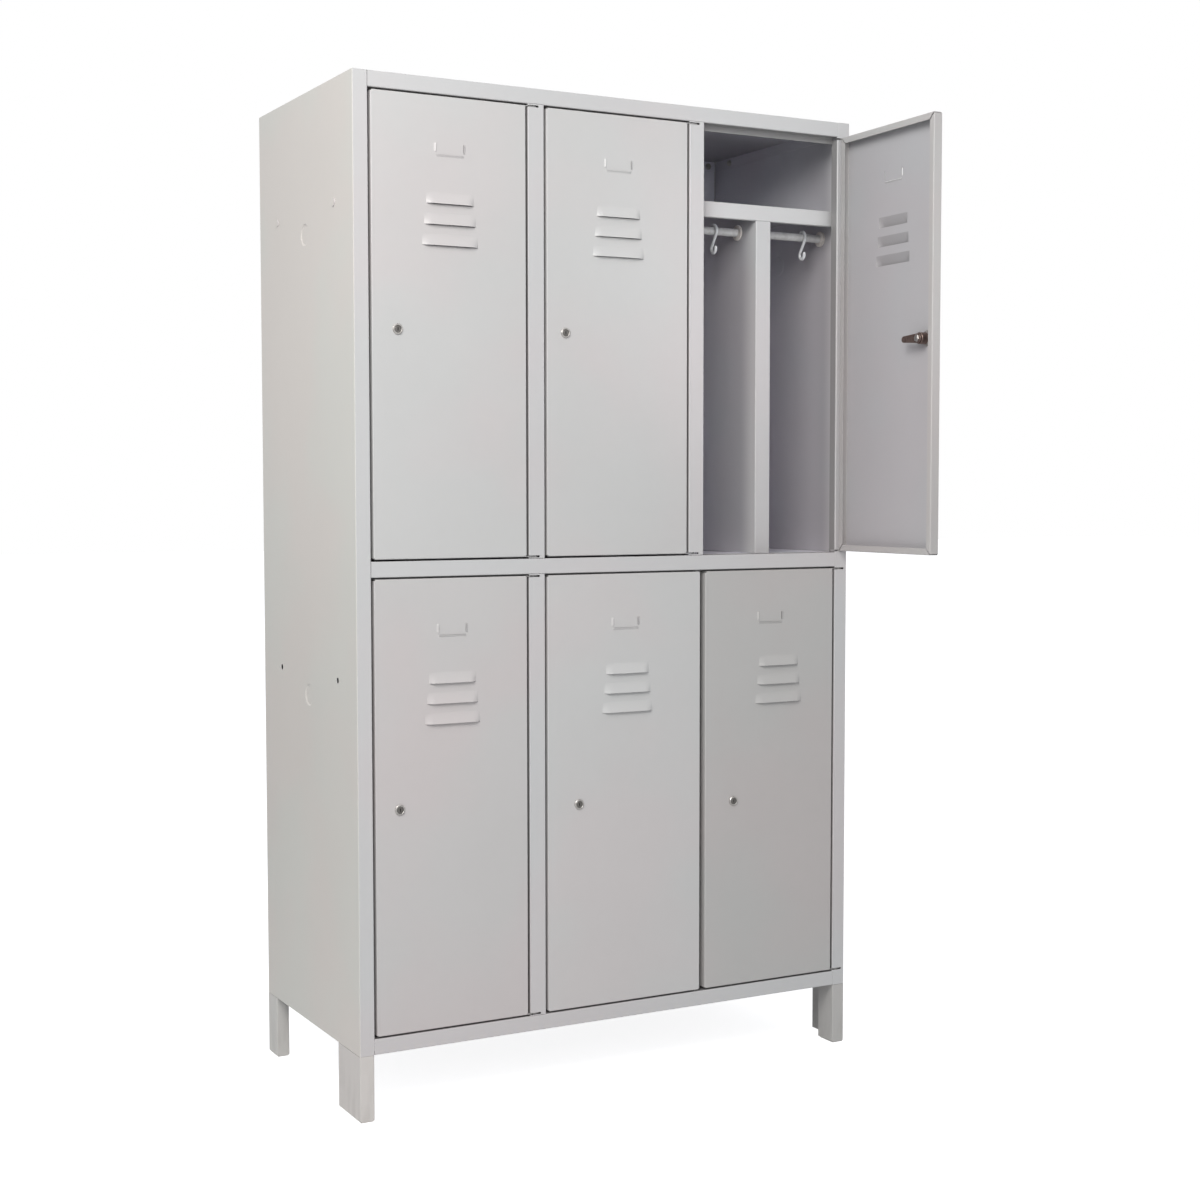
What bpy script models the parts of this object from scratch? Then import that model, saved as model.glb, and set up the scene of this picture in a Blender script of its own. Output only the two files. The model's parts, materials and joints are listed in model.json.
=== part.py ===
"""Clean and dirty clothes locker: six compartments in two tiers, folded from sheet steel.

The cabinet's own frame has X to the right, Y to the back and Z up, from the front left corner on the
floor. The upper right door stands open. Every length is in metres.
"""
import bpy
import bmesh
import math
from mathutils import Matrix, Vector

MM = 0.001

# Cabinet
cabinet_width = 1050 * MM
cabinet_depth = 500 * MM
cabinet_height = 1850 * MM
leg_height = 120 * MM
sheet = 1.0 * MM
seat_gap = 0.3 * MM
fold_radius = 0.8 * MM
corner_relief = 1.8 * MM
overrun = 4 * MM
edge_play = 0.8 * MM
round_sides = 12
small_sides = 8
rod_sides = 10
ear_sides = 4
cam_hub_sides = 8
cam_tip_sides = 6
hook_bend_sides = 7
hook_swing_sides = 5
smooth_angle = 35
angle_slack = 1e-9
wire_sides = 5
arc_steps = 1

# Front frame
side_stile = 28 * MM
inner_stile = 32 * MM
stile_return = 20 * MM
stop_lip = 10 * MM
rail_height = 28 * MM
rail_lip = 12 * MM
tray_flange = 22 * MM
rear_flange = 18 * MM
wall_foot = 14 * MM
wall_hem = 2.5 * MM
foot_setback = 40 * MM

# Doors
door_thickness = 19 * MM
door_setback = 0.5 * MM
door_lip = 12 * MM
free_edge_gap = 4.5 * MM
hinge_edge_gap = 3.5 * MM
door_end_gap = 3.5 * MM
pivot_inset = 13.4 * MM
pivot_depth = 8.5 * MM
overlay_pivot_inset = 8 * MM
overlay_end_gap = 5 * MM
overlay_stile_setback = 25 * MM
ear_radius = 6.5 * MM
ear_play = 1.3 * MM
pin_radius = 2.5 * MM
pin_play = 0.5 * MM
pin_head_radius = 4 * MM
pin_head_height = 1.6 * MM
pin_end = 1.5 * MM
open_angle = 88.5

# Louvres, from the top one down
louvre_lengths = [92 * MM, 100 * MM, 108 * MM]
louvre_height = 20 * MM
louvre_pitch = 36.6 * MM
louvre_reach = 6 * MM
louvre_end = 14 * MM
louvre_slit = 1.5 * MM
louvre_drop = 192 * MM
hood_rise_shares = (0.0, 0.6, 1.0)
hood_lift_shares = (1.0, 0.8, 0.0)

# Card holder
card_width = 62 * MM
card_height = 27 * MM
card_drop = 79 * MM
card_tab = 4 * MM
card_tab_end = 3 * MM
card_pocket = 2.2 * MM
card_side_length = 17 * MM

# Locks
lock_drop = 415 * MM
lock_barrel_radius = 8 * MM
lock_face_radius = 9.5 * MM
lock_face_height = 2.4 * MM
lock_nut_radius = 14.5 * MM
lock_nut_height = 5 * MM
lock_body_radius = 11 * MM
lock_body_end = 21 * MM
plug_radius = 5 * MM
plug_play = 0.4 * MM
plug_recess = 0.5 * MM
cam_gap = 1.0 * MM
cam_thickness = 2.4 * MM
cam_reach = 50 * MM
long_cam_reach = 68 * MM
cam_hub_radius = 9 * MM
cam_tip_radius = 6 * MM
cam_nut_radius = 6.5 * MM
cam_nut_height = 3.5 * MM

# Inside of a compartment
hat_space = 142 * MM
shelf_lip = 30 * MM
shelf_hem = 9 * MM
shelf_side_flange = 14 * MM
fitting_setback = 30 * MM
divider_face = 34 * MM
divider_return = 12 * MM
rod_radius = 7.5 * MM
cup_radius = 15 * MM
cup_height = 4 * MM
hook_wire_radius = 2.4 * MM
hook_height = 58 * MM
hook_swing_radius = 8 * MM
hook_bend_start = -20
hook_swing_end = -195
clean_hook_share = 0.66
dirty_hook_share = 0.77

# Side panels
join_hole_radius = 5.5 * MM
join_hole_spacing = 302 * MM
join_hole_drop = 188 * MM
join_middle = 246 * MM
boss_radius = 21 * MM
boss_slope = 3 * MM
boss_depth = 1.5 * MM
boss_drop = 228 * MM
cap_radius = 7.5 * MM
cap_height = 1.8 * MM

# Legs
front_leg_width = 27 * MM
front_leg_outer = 108 * MM
front_leg_inner = 50 * MM
front_leg_foot = 46 * MM
rear_leg_width = 25 * MM
rear_leg_depth = 50 * MM
rear_leg_foot = 46 * MM

# Nuts in the tray flanges
nut_radius = 5 * MM
nut_height = 3.2 * MM
nut_drop = 12 * MM
nut_edge = 60 * MM
nut_sides = 6

half = sheet / 2
clear = sheet + seat_gap
bottom_rail_top = leg_height + rail_height
tier_opening = (cabinet_height - leg_height - 3 * rail_height) / 2
middle_rail_bottom = bottom_rail_top + tier_opening
middle_rail_top = middle_rail_bottom + rail_height
top_rail_bottom = cabinet_height - rail_height
tier_floor = {"upper": middle_rail_top, "lower": bottom_rail_top}
tier_ceiling = {"upper": top_rail_bottom, "lower": middle_rail_bottom}
opening_width = (cabinet_width - 2 * side_stile - 2 * inner_stile) / 3
opening_left = [side_stile + i * (opening_width + inner_stile) for i in range(3)]
opening_right = [x + opening_width for x in opening_left]
wall_left = [clear, opening_right[0] + clear, opening_right[1] + clear]
wall_right = [opening_right[0] - seat_gap, opening_right[1] - seat_gap, cabinet_width - clear]
back_front = cabinet_depth - sheet - seat_gap - sheet
tray_rear = back_front - seat_gap
partition_rear = tray_rear - clear
shelf_rear = partition_rear - clear
divider_rear = shelf_rear - clear
lip_front = stile_return
lip_back = stile_return + sheet
join_places = (join_middle - join_hole_spacing / 2, join_middle + join_hole_spacing / 2)
rod_depth = join_places[0]

COLUMNS = ("left", "middle", "right")
TIERS = ("upper", "lower")
OPEN_DOOR = ("upper", "right")
OVERLAY_DOOR = ("lower", "middle")
DEEP_LOCK_DOOR = ("lower", "right")

# Places that differ from door to door
lock_from_edge = {("upper", "left"): 49 * MM, ("upper", "middle"): 39 * MM, ("upper", "right"): 39 * MM,
                  ("lower", "left"): 47 * MM, ("lower", "middle"): 66 * MM, ("lower", "right"): 66 * MM}
lock_shift = {("lower", "middle"): 19 * MM, ("lower", "right"): 40 * MM, ("upper", "middle"): -6 * MM}
louvre_shift = {("lower", "right"): 20 * MM, ("lower", "middle"): 4 * MM}

PAINT = ((0.60, 0.605, 0.59), 0.45, 0.0)
INNER_PAINT = ((0.52, 0.53, 0.54), 0.5, 0.0)
ZINC = ((0.62, 0.62, 0.62), 0.3, 0.9)
DARK_STEEL = ((0.16, 0.13, 0.12), 0.45, 0.7)
WHITE_PLASTIC = ((0.86, 0.87, 0.88), 0.35, 0.0)


for old in list(bpy.data.objects):
    bpy.data.objects.remove(old, do_unlink=True)
scene = bpy.context.scene


def make_material(name, colour, roughness, metallic):
    m = bpy.data.materials.new(name)
    m.use_nodes = True
    shader = m.node_tree.nodes["Principled BSDF"]
    shader.inputs["Base Color"].default_value = (*colour, 1.0)
    shader.inputs["Roughness"].default_value = roughness
    shader.inputs["Metallic"].default_value = metallic
    return m


def place(name, data, parent=None, location=(0, 0, 0)):
    obj = bpy.data.objects.new(name, data)
    scene.collection.objects.link(obj)
    obj.location = location
    obj.parent = parent
    return obj


def finish(name, bm, paint, parent):
    """Turn a bmesh into a named, painted object."""
    mesh = bpy.data.meshes.new(name)
    bm.to_mesh(mesh)
    bm.free()
    mesh.shade_smooth()
    mesh.set_sharp_from_angle(angle=math.radians(smooth_angle))
    mesh.materials.append(make_material(name + "_finish", *paint))
    return place(name, mesh, parent)


def box(bm, low, high):
    size = Vector(high) - Vector(low)
    middle = (Vector(high) + Vector(low)) / 2
    bmesh.ops.create_cube(bm, size=1.0, matrix=Matrix.Translation(middle) @ Matrix.Diagonal((*size, 1.0)))


def combine(obj, bm, operation):
    """Cut the closed shapes of a bmesh out of an object, or weld them to it."""
    mesh = bpy.data.meshes.new(f"{obj.name}_{operation.lower()}")
    bm.to_mesh(mesh)
    bm.free()
    tool = place(mesh.name, mesh, obj.parent)
    tool.hide_render = True
    tool.display_type = "WIRE"
    m = obj.modifiers.new(operation.lower(), "BOOLEAN")
    m.operation = operation
    m.solver = "EXACT"
    m.object = tool


def circle(radius, sides=round_sides, start=0.0, end=2 * math.pi, centre=(0, 0)):
    """Points of a circle, or of an arc when start and end are given, as 2D pairs."""
    whole = abs(end - start) >= 2 * math.pi - angle_slack
    count = sides if whole else sides + 1
    turns = [start + (end - start) * (k + (0.5 if whole else 0)) / sides for k in range(count)]
    return [(centre[0] + radius * math.cos(a), centre[1] + radius * math.sin(a)) for a in turns]


def fill_plate(bm, outline, holes=()):
    """A flat face with holes, from vertex loops in one plane."""
    edges = []
    for loop in [outline, *holes]:
        for a, b in zip(loop, loop[1:] + loop[:1]):
            edges.append(bm.edges.get((a, b)) or bm.edges.new((a, b)))
    bmesh.ops.triangle_fill(bm, use_beauty=True, use_dissolve=False, edges=edges)


def fillet(points, radius):
    """A 2D path with each inner corner rounded by a short arc."""
    out = [Vector(points[0])]
    for a, b, c in zip(points, points[1:], points[2:]):
        corner = Vector(b)
        before, after = (Vector(a) - corner).normalized(), (Vector(c) - corner).normalized()
        bend = before.angle(after) / 2
        start = corner + before * radius / math.tan(bend)
        end = corner + after * radius / math.tan(bend)
        centre = corner + (before + after).normalized() * radius / math.sin(bend)
        for k in range(arc_steps + 1):
            out.append(centre + (start - centre).lerp(end - centre, k / arc_steps).normalized() * radius)
    out.append(Vector(points[-1]))
    return out


class Panel:
    """A sheet in the u, v plane, drawn at mid thickness, whose edges fold towards n.

    A fold's path is a list of (inwards, deep) pairs from the sheet's edge. Start and end are how far
    the fold stays from the two corners, and they also size the corner's notch.
    """

    def __init__(self, name, origin, u, v, n, width, height):
        self.name = name
        self.bm = bmesh.new()
        self.frame = Matrix((Vector(u), Vector(v), Vector(n))).transposed()
        self.origin = Vector(origin)
        self.size = (width, height)
        self.folds = {}
        self.holes = []

    def vert(self, u, v, n=0.0):
        return self.bm.verts.new(self.origin + self.frame @ Vector((u, v, n)))

    def fold(self, side, path, start=corner_relief, end=corner_relief, mitre=0, ear=None):
        inner = (2 * fold_radius, 0)
        self.folds[side] = {"path": fillet([inner, (0, 0), *path], fold_radius)[1:],
                            "start": start, "end": end, "mitre": mitre, "ear": ear}

    def along(self, side, s, inwards, deep=0.0):
        w, h = self.size
        spots = {"low_v": (s, inwards), "high_u": (w - inwards, s),
                 "high_v": (w - s, h - inwards), "low_u": (inwards, h - s)}
        return self.vert(*spots[side], deep)

    def length(self, side):
        return self.size[0] if side in ("low_v", "high_v") else self.size[1]

    def round_hole(self, u, v, radius, sides=round_sides):
        loop = [self.vert(*point) for point in circle(radius, sides, centre=(u, v))]
        self.holes.append(loop)
        return loop

    def boss(self, u, v, radius, slope, depth):
        """A round pressing towards n."""
        rim = self.round_hole(u, v, radius)
        floor = [self.vert(*point, depth) for point in circle(radius - slope, centre=(u, v))]
        for k, corner in enumerate(rim):
            self.bm.faces.new((corner, rim[k - 1], floor[k - 1], floor[k]))
        self.bm.faces.new(floor)

    def hood(self, u, v, turn, length, height, reach, end):
        """A lanced hood raised away from n. Its free edge passes through u, v, and turn rotates it."""
        def at(s, t, lift=0.0):
            return self.vert(u + s * math.cos(turn) - t * math.sin(turn),
                             v + s * math.sin(turn) + t * math.cos(turn), -lift)
        grid = []
        for k, s in enumerate((-length / 2, end - length / 2, length / 2 - end, length / 2)):
            rise = reach if k in (1, 2) else 0.0
            grid.append([at(s, height * t, rise * lift)
                         for t, lift in zip(hood_rise_shares, hood_lift_shares)])
        for a, b in zip(grid, grid[1:]):
            for k in range(len(a) - 1):
                self.bm.faces.new((a[k], b[k], b[k + 1], a[k + 1]))
        slit = [at(-length / 2, -louvre_slit), at(length / 2, -louvre_slit)]
        self.holes.append([*slit, *grid[3], grid[2][-1], grid[1][-1], *reversed(grid[0])])

    def corner(self, side, before):
        """The notch point between two sides, or none where a fold runs to the corner."""
        here, last = self.folds.get(side), self.folds.get(before)
        if here and last:
            return here["start"], last["end"]
        if here:
            return (0, fold_radius) if here["start"] > 0 else None
        if last:
            return (fold_radius, 0) if last["end"] > 0 else None
        return 0, 0

    def build(self, paint, parent):
        outline = []
        order = ["low_v", "high_u", "high_v", "low_u"]
        for i, side in enumerate(order):
            point = self.corner(side, order[i - 1])
            if point:
                outline.append(self.along(side, *point))
            if side not in self.folds:
                continue
            fold = self.folds[side]
            rows = []
            for inwards, deep in fold["path"]:
                step = fold["mitre"] * inwards if deep > fold_radius * 2 else 0.0
                ends = (fold["start"] + step, self.length(side) - fold["end"] - step)
                rows.append([self.along(side, s, inwards, deep) for s in ends])
            for (a, b), (c, d) in zip(rows, rows[1:]):
                self.bm.faces.new((a, b, d, c))
            outline.extend(rows[0])
            if fold["ear"]:
                self.add_ear(side, rows, fold)
        fill_plate(self.bm, outline, self.holes)
        bmesh.ops.recalc_face_normals(self.bm, faces=self.bm.faces)
        obj = finish(self.name, self.bm, paint, parent)
        wall = obj.modifiers.new("sheet thickness", "SOLIDIFY")
        wall.thickness = sheet
        wall.offset = 0.0
        wall.use_even_offset = True
        return obj

    def add_ear(self, side, rows, fold):
        """A pivot ear in the plane of a fold's first flat, past the end at the hinge."""
        reach, depth, at_end = fold["ear"]
        flat = [i for i, point in enumerate(fold["path"]) if abs(point[0]) < seat_gap / 10]
        which = 1 if at_end else 0
        sign = 1 if at_end else -1
        pivot = self.length(side) + reach if at_end else -reach
        arc = circle(ear_radius, ear_sides, -math.pi / 2, math.pi / 2)
        tip = [self.along(side, pivot + sign * p, 0.0, depth + q) for p, q in arc]
        root = self.length(side) if at_end else 0.0
        tip.append(self.along(side, root, 0.0, depth + ear_radius))
        fill_plate(self.bm, [rows[flat[0]][which], *tip, rows[flat[-1]][which]])


def turned(bm, profile, spot, axis, sides=round_sides):
    """A solid of revolution from (radius, along) pairs. A radius of zero closes an end."""
    axis = Vector(axis)
    side = axis.orthogonal().normalized()
    other = axis.cross(side)
    rings = []
    for radius, along in profile:
        middle = Vector(spot) + axis * along
        points = circle(radius, sides) if radius else [(0, 0)]
        rings.append([bm.verts.new(middle + side * p + other * q) for p, q in points])
    pairs = list(zip(rings, rings[1:]))
    if profile[0][0]:
        pairs.append((rings[-1], rings[0]))
    faces = []
    for low, high in pairs:
        for k in range(sides):
            corners = [low[k % len(low)], low[(k + 1) % len(low)]]
            corners += [high[(k + 1) % len(high)], high[k % len(high)]]
            faces.append(bm.faces.new(list(dict.fromkeys(corners))))
    bmesh.ops.recalc_face_normals(bm, faces=faces)


def stubbed_plate(bm, to, outline, level, stubs, sides=small_sides):
    """A plate between two levels along its axis, with a round stub on either face, as one shell."""
    def ring(points, height):
        return [bm.verts.new(to(p, q, height)) for p, q in points]

    def wall(low, high):
        for k, corner in enumerate(low):
            bm.faces.new((low[k - 1], corner, high[k], high[k - 1]))

    before = set(bm.faces)
    rims = [ring(outline, height) for height in level]
    wall(*rims)
    for rim, height, stub in zip(rims, level, stubs):
        if stub is None:
            bm.faces.new(rim)
            continue
        foot = ring(circle(stub[0], sides), height)
        tip = ring(circle(stub[0], sides), stub[1])
        fill_plate(bm, rim, [foot])
        wall(foot, tip)
        bm.faces.new(tip)
    faces = [face for face in bm.faces if face not in before]
    bmesh.ops.recalc_face_normals(bm, faces=faces)


def swept(bm, path, radius, sides=wire_sides):
    """A round wire along a path in the Y, Z plane."""
    rings = []
    for i, point in enumerate(path):
        ahead, behind = Vector(path[min(i + 1, len(path) - 1)]), Vector(path[max(i - 1, 0)])
        tangent = (ahead - behind).normalized()
        normal = Vector((0, -tangent[1], tangent[0]))
        middle = Vector((0, *point))
        rings.append([bm.verts.new(middle + Vector((p, 0, 0)) + normal * q)
                      for p, q in circle(radius, sides)])
    for low, high in zip(rings, rings[1:]):
        for k in range(sides):
            bm.faces.new((low[k - 1], low[k], high[k], high[k - 1]))
    bm.faces.new(rings[0])
    bm.faces.new(rings[-1])
    bmesh.ops.recalc_face_normals(bm, faces=bm.faces)


def door_span(tier, column):
    """The door's left and right edges and its pivot, in the cabinet's frame."""
    i = COLUMNS.index(column)
    left = opening_left[i] + free_edge_gap
    right = opening_right[i] - hinge_edge_gap
    pivot = opening_right[i] + pivot_inset
    if (tier, column) == OVERLAY_DOOR:
        right = opening_right[i] + inner_stile - overlay_end_gap
        pivot = right - overlay_pivot_inset
    return left, right, pivot


def lock_depth(tier, column):
    """How far behind the cabinet's front the lock body ends."""
    if (tier, column) == DEEP_LOCK_DOOR:
        return overlay_stile_setback + sheet
    return door_setback + lock_body_end


def hinge_slots(bm, tier, pivot, edge):
    """Cutting boxes for both ears of a door, where they turn through the stile."""
    right = pivot + ear_radius + ear_play
    depth = pivot_depth + ear_radius + ear_play
    near, far = pin_head_height + 2 * seat_gap, door_end_gap + sheet + ear_play
    floor, ceiling = tier_floor[tier], tier_ceiling[tier]
    for low, high in ((floor + near, floor + far), (ceiling - far, ceiling - near)):
        box(bm, (edge - overrun, -overrun, low), (right, depth, high))


open_left, open_right, open_pivot = door_span(*OPEN_DOOR)
turn = math.radians(open_angle)
front_reach = (pivot_depth - (open_pivot - open_left) * math.sin(turn)
               - (pivot_depth - door_setback) * math.cos(turn))
cabinet = place("cabinet", None, None, (-cabinet_width / 2, -(front_reach + cabinet_depth) / 2, 0))


def side_panel(name, is_left):
    """Side sheet with the stile on its front edge, a rear flange, joining holes and pressed bosses."""
    sign = 1 if is_left else -1
    face = half if is_left else cabinet_width - half
    p = Panel(name, (face, half, leg_height), (0, 1, 0), (0, 0, 1), (sign, 0, 0),
              cabinet_depth - sheet, cabinet_height - leg_height)
    stile = side_stile - sheet
    lip = [(stile_return, stile + stop_lip)] if is_left else []
    p.fold("low_u", [(0, stile), (stile_return, stile), *lip], start=0, end=0)
    p.fold("high_u", [(0, rear_flange)], start=0, end=0)
    for tier in TIERS:
        ceiling = tier_ceiling[tier] - leg_height
        if tier == "lower":
            for y in join_places:
                p.round_hole(y - half, ceiling - join_hole_drop, join_hole_radius)
        p.boss(join_middle - half, ceiling - boss_drop, boss_radius, boss_slope, boss_depth)
    obj = p.build(PAINT, cabinet)
    caps = bmesh.new()
    for y in join_places:
        spot = (face, y, tier_ceiling["upper"] - join_hole_drop)
        cap = [(0, 0), (cap_radius, 0), (cap_radius, half + cap_height), (0, half + cap_height)]
        turned(caps, cap, spot, (-sign, 0, 0))
    combine(obj, caps, "UNION")
    bm = bmesh.new()
    if is_left:
        low_x, high_x = side_stile + seat_gap / 2, side_stile + stop_lip + overrun
        lip_y = (lip_front - edge_play, lip_back + edge_play)
        bands = ((leg_height - overrun, bottom_rail_top + seat_gap),
                 (middle_rail_bottom - rail_lip - edge_play, middle_rail_top + seat_gap),
                 (top_rail_bottom - rail_lip - edge_play, cabinet_height + overrun))
        for low, high in bands:
            box(bm, (low_x, lip_y[0], low), (high_x, lip_y[1], high))
    else:
        for tier in TIERS:
            hinge_slots(bm, tier, opening_right[2] + pivot_inset, opening_right[2])
    combine(obj, bm, "DIFFERENCE")


def tray(name, top, paint, has_stop):
    """A tray whose front edge folds into the rail, with its underside return and the door stop lip.

    The stop lip has a notch where the inner corner of the overlaid door swings through it.
    """
    width, depth = cabinet_width - 2 * clear - sheet, tray_rear - sheet
    p = Panel(name, (clear + half, half, top - half), (1, 0, 0), (0, 1, 0), (0, 0, -1), width, depth)
    drop = rail_height - sheet
    rail_end = side_stile + seat_gap - clear - half
    side_start = stile_return + 2 * corner_relief + sheet
    stop = [(stile_return, drop + rail_lip)] if has_stop else []
    p.fold("low_v", [(0, drop), (stile_return, drop), *stop], start=rail_end, end=rail_end)
    p.fold("high_u", [(0, tray_flange)], start=side_start)
    p.fold("low_u", [(0, tray_flange)], end=side_start)
    p.fold("high_v", [(0, tray_flange)])
    obj = p.build(paint, cabinet)
    bm = bmesh.new()
    nut = [(0, -nut_height), (nut_radius, -nut_height), (nut_radius, half), (0, half)]
    for spot, axis in nut_places(top):
        turned(bm, nut, spot, axis, nut_sides)
    tip = door_end_gap + sheet + pin_end
    pin = [(0, -half), (pin_head_radius, -half), (pin_head_radius, pin_head_height),
           (pin_radius, pin_head_height), (pin_radius, tip), (0, tip)]
    for tier in TIERS:
        for column in COLUMNS[:2]:
            for base, way in ((tier_floor[tier], 1), (tier_ceiling[tier], -1)):
                if top - rail_height <= base <= top:
                    spot = (door_span(tier, column)[2], pivot_depth, base)
                    turned(bm, pin, spot, (0, 0, way), small_sides)
    combine(obj, bm, "UNION")
    ceiling = tier_ceiling[OVERLAY_DOOR[0]]
    if has_stop and ceiling == top - rail_height:
        _, right, pivot = door_span(*OVERLAY_DOOR)
        bm = bmesh.new()
        box(bm, (pivot - overlay_pivot_inset, lip_front - edge_play, ceiling - rail_lip - edge_play),
            (right + edge_play, lip_back + edge_play, ceiling - door_end_gap + edge_play))
        combine(obj, bm, "DIFFERENCE")


def nut_places(top):
    """Each tray nut's place on the inner face of its flange, and the way its stud comes from."""
    z = top - nut_drop
    left, right, rear = clear + sheet, cabinet_width - clear - sheet, tray_rear - sheet
    places = []
    for y in (nut_edge, tray_rear - nut_edge):
        places.append(((left, y, z), (-1, 0, 0)))
        places.append(((right, y, z), (1, 0, 0)))
    for i in range(3):
        places.append((((opening_left[i] + opening_right[i]) / 2, rear, z), (0, 1, 0)))
    return places


def back_panel():
    p = Panel("back_panel", (clear, back_front + half, leg_height), (1, 0, 0), (0, 0, 1), (0, -1, 0),
              cabinet_width - 2 * clear, cabinet_height - leg_height)
    p.build(PAINT, cabinet)


def partition(tier, i):
    """A wall between two compartments, its front edge folded into the inner stile."""
    name = f"{tier}_{COLUMNS[i]}_partition"
    overlaid = (tier, COLUMNS[i]) == OVERLAY_DOOR
    front = overlay_stile_setback if overlaid else 0
    low = tier_floor[tier] + seat_gap
    high = tier_ceiling[tier] + rail_height - clear
    p = Panel(name, (opening_right[i] + half, front + half, low + half), (0, 1, 0), (0, 0, 1), (1, 0, 0),
              partition_rear - front - sheet, high - low - sheet)
    stile = inner_stile - sheet
    foot_start = foot_setback - front
    if overlaid:
        p.fold("low_u", [(0, stile + stop_lip)], start=corner_relief, end=0)
        p.fold("high_v", [(0, wall_hem)], end=foot_start)
    else:
        path = [(0, stile), (stile_return, stile), (stile_return, stile + stop_lip)]
        p.fold("low_u", path, start=rail_height - sheet - half, end=0)
        p.fold("high_v", [(0, wall_hem)], end=lip_back + edge_play - half)
    p.fold("low_v", [(0, wall_hem)], start=foot_start)
    p.fold("high_u", [(0, wall_foot)])
    obj = p.build(INNER_PAINT, cabinet)
    if overlaid:
        return
    bm = bmesh.new()
    hinge_slots(bm, tier, opening_right[i] + pivot_inset, opening_right[i])
    box(bm, (opening_right[i] - overrun, lip_front - edge_play, tier_ceiling[tier] - rail_lip - edge_play),
        (opening_right[i] + inner_stile + stop_lip + overrun, lip_back + edge_play, high + overrun))
    combine(obj, bm, "DIFFERENCE")


def shelf_top(tier):
    return tier_ceiling[tier] - hat_space


def hat_shelf(tier, i):
    """The shelf for hats, with a deep front lip hemmed back, and a flange down each side."""
    name = f"{tier}_{COLUMNS[i]}_hat_shelf"
    left, right = wall_left[i], wall_right[i]
    p = Panel(name, (left + half, fitting_setback + half, shelf_top(tier) - half),
              (1, 0, 0), (0, 1, 0), (0, 0, -1), right - left - sheet, shelf_rear - fitting_setback - sheet)
    p.fold("low_v", [(0, shelf_lip - sheet), (shelf_hem, shelf_lip - sheet)])
    p.fold("high_u", [(0, shelf_side_flange)], end=0)
    p.fold("low_u", [(0, shelf_side_flange)], start=0)
    p.build(INNER_PAINT, cabinet)


def divider_left(i):
    return (opening_left[i] + opening_right[i] - divider_face) / 2


def clothes_divider(tier, i):
    """The upright wall between the clean and the dirty half, with a folded front face."""
    name = f"{tier}_{COLUMNS[i]}_clothes_divider"
    low, high = tier_floor[tier] + seat_gap, shelf_top(tier) - clear
    p = Panel(name, (divider_left(i) + half, fitting_setback + half, low + half),
              (0, 1, 0), (0, 0, 1), (1, 0, 0), divider_rear - fitting_setback - sheet, high - low - sheet)
    face = divider_face - sheet
    p.fold("low_u", [(0, face), (divider_return, face)], start=shelf_lip - sheet - half, end=0)
    p.fold("high_v", [(0, wall_foot)], end=shelf_hem + sheet + edge_play)
    p.fold("low_v", [(0, wall_foot)], start=divider_return + sheet + corner_relief)
    p.fold("high_u", [(0, wall_foot)])
    obj = p.build(INNER_PAINT, cabinet)
    rod = bmesh.new()
    web, start, end = divider_left(i), wall_left[i], wall_right[i]
    profile = [(0, start), (cup_radius, start), (cup_radius, start + cup_height),
               (rod_radius, start + cup_height), (rod_radius, web - cup_height),
               (cup_radius, web - cup_height), (cup_radius, web + sheet + cup_height),
               (rod_radius, web + sheet + cup_height), (rod_radius, end - cup_height),
               (cup_radius, end - cup_height), (cup_radius, end), (0, end)]
    turned(rod, profile, (0, rod_depth, tier_ceiling[tier] - join_hole_drop), (1, 0, 0), rod_sides)
    combine(obj, rod, "UNION")


def half_spaces(i):
    """The left and the right half of a compartment, each as its two wall faces."""
    web = divider_left(i)
    return (wall_left[i] - seat_gap, web), (web + sheet, wall_right[i] + seat_gap)


def hinge_bracket(tier, end):
    """A pivot pin on its bracket plate, in the hollow of the right side stile."""
    pivot = door_span(tier, "right")[2]
    base, way = (tier_ceiling[tier], -1) if end == "top" else (tier_floor[tier], 1)
    left, right = opening_right[2] + clear - pivot, cabinet_width - clear - pivot
    front, back = clear - pivot_depth, stile_return - seat_gap - pivot_depth
    outline = [(left, front), (right, front), (right, back), (left, back)]

    def to(p, q, level):
        return Vector((pivot + p, pivot_depth + q, base + way * level))

    bm = bmesh.new()
    tip = door_end_gap + sheet + pin_end
    stubbed_plate(bm, to, outline, (0, pin_head_height), (None, (pin_radius, tip)))
    finish(f"{tier}_right_{end}_hinge_bracket", bm, ZINC, cabinet)


def leg(name, is_left, is_front):
    """A folded channel leg that stands on its turned-in foot plate."""
    width = front_leg_width if is_front else rear_leg_width
    outer = front_leg_outer if is_front else rear_leg_depth
    inner = front_leg_inner if is_front else rear_leg_depth
    foot = front_leg_foot if is_front else rear_leg_foot
    x = 0 if is_left else cabinet_width - width
    y = 0 if is_front else cabinet_depth - rear_leg_depth
    p = Panel(name, (x + half, y + half, half), (1, 0, 0), (0, 0, 1), (0, 1, 0),
              width - sheet, leg_height - clear)
    left, right = (outer, inner) if is_left else (inner, outer)
    p.fold("low_u", [(0, left - sheet)], start=0)
    p.fold("high_u", [(0, right - sheet)], end=0)
    p.fold("low_v", [(0, foot - sheet)])
    p.fold("high_v", [(0, foot - sheet)])
    p.build(PAINT, cabinet)


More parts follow.
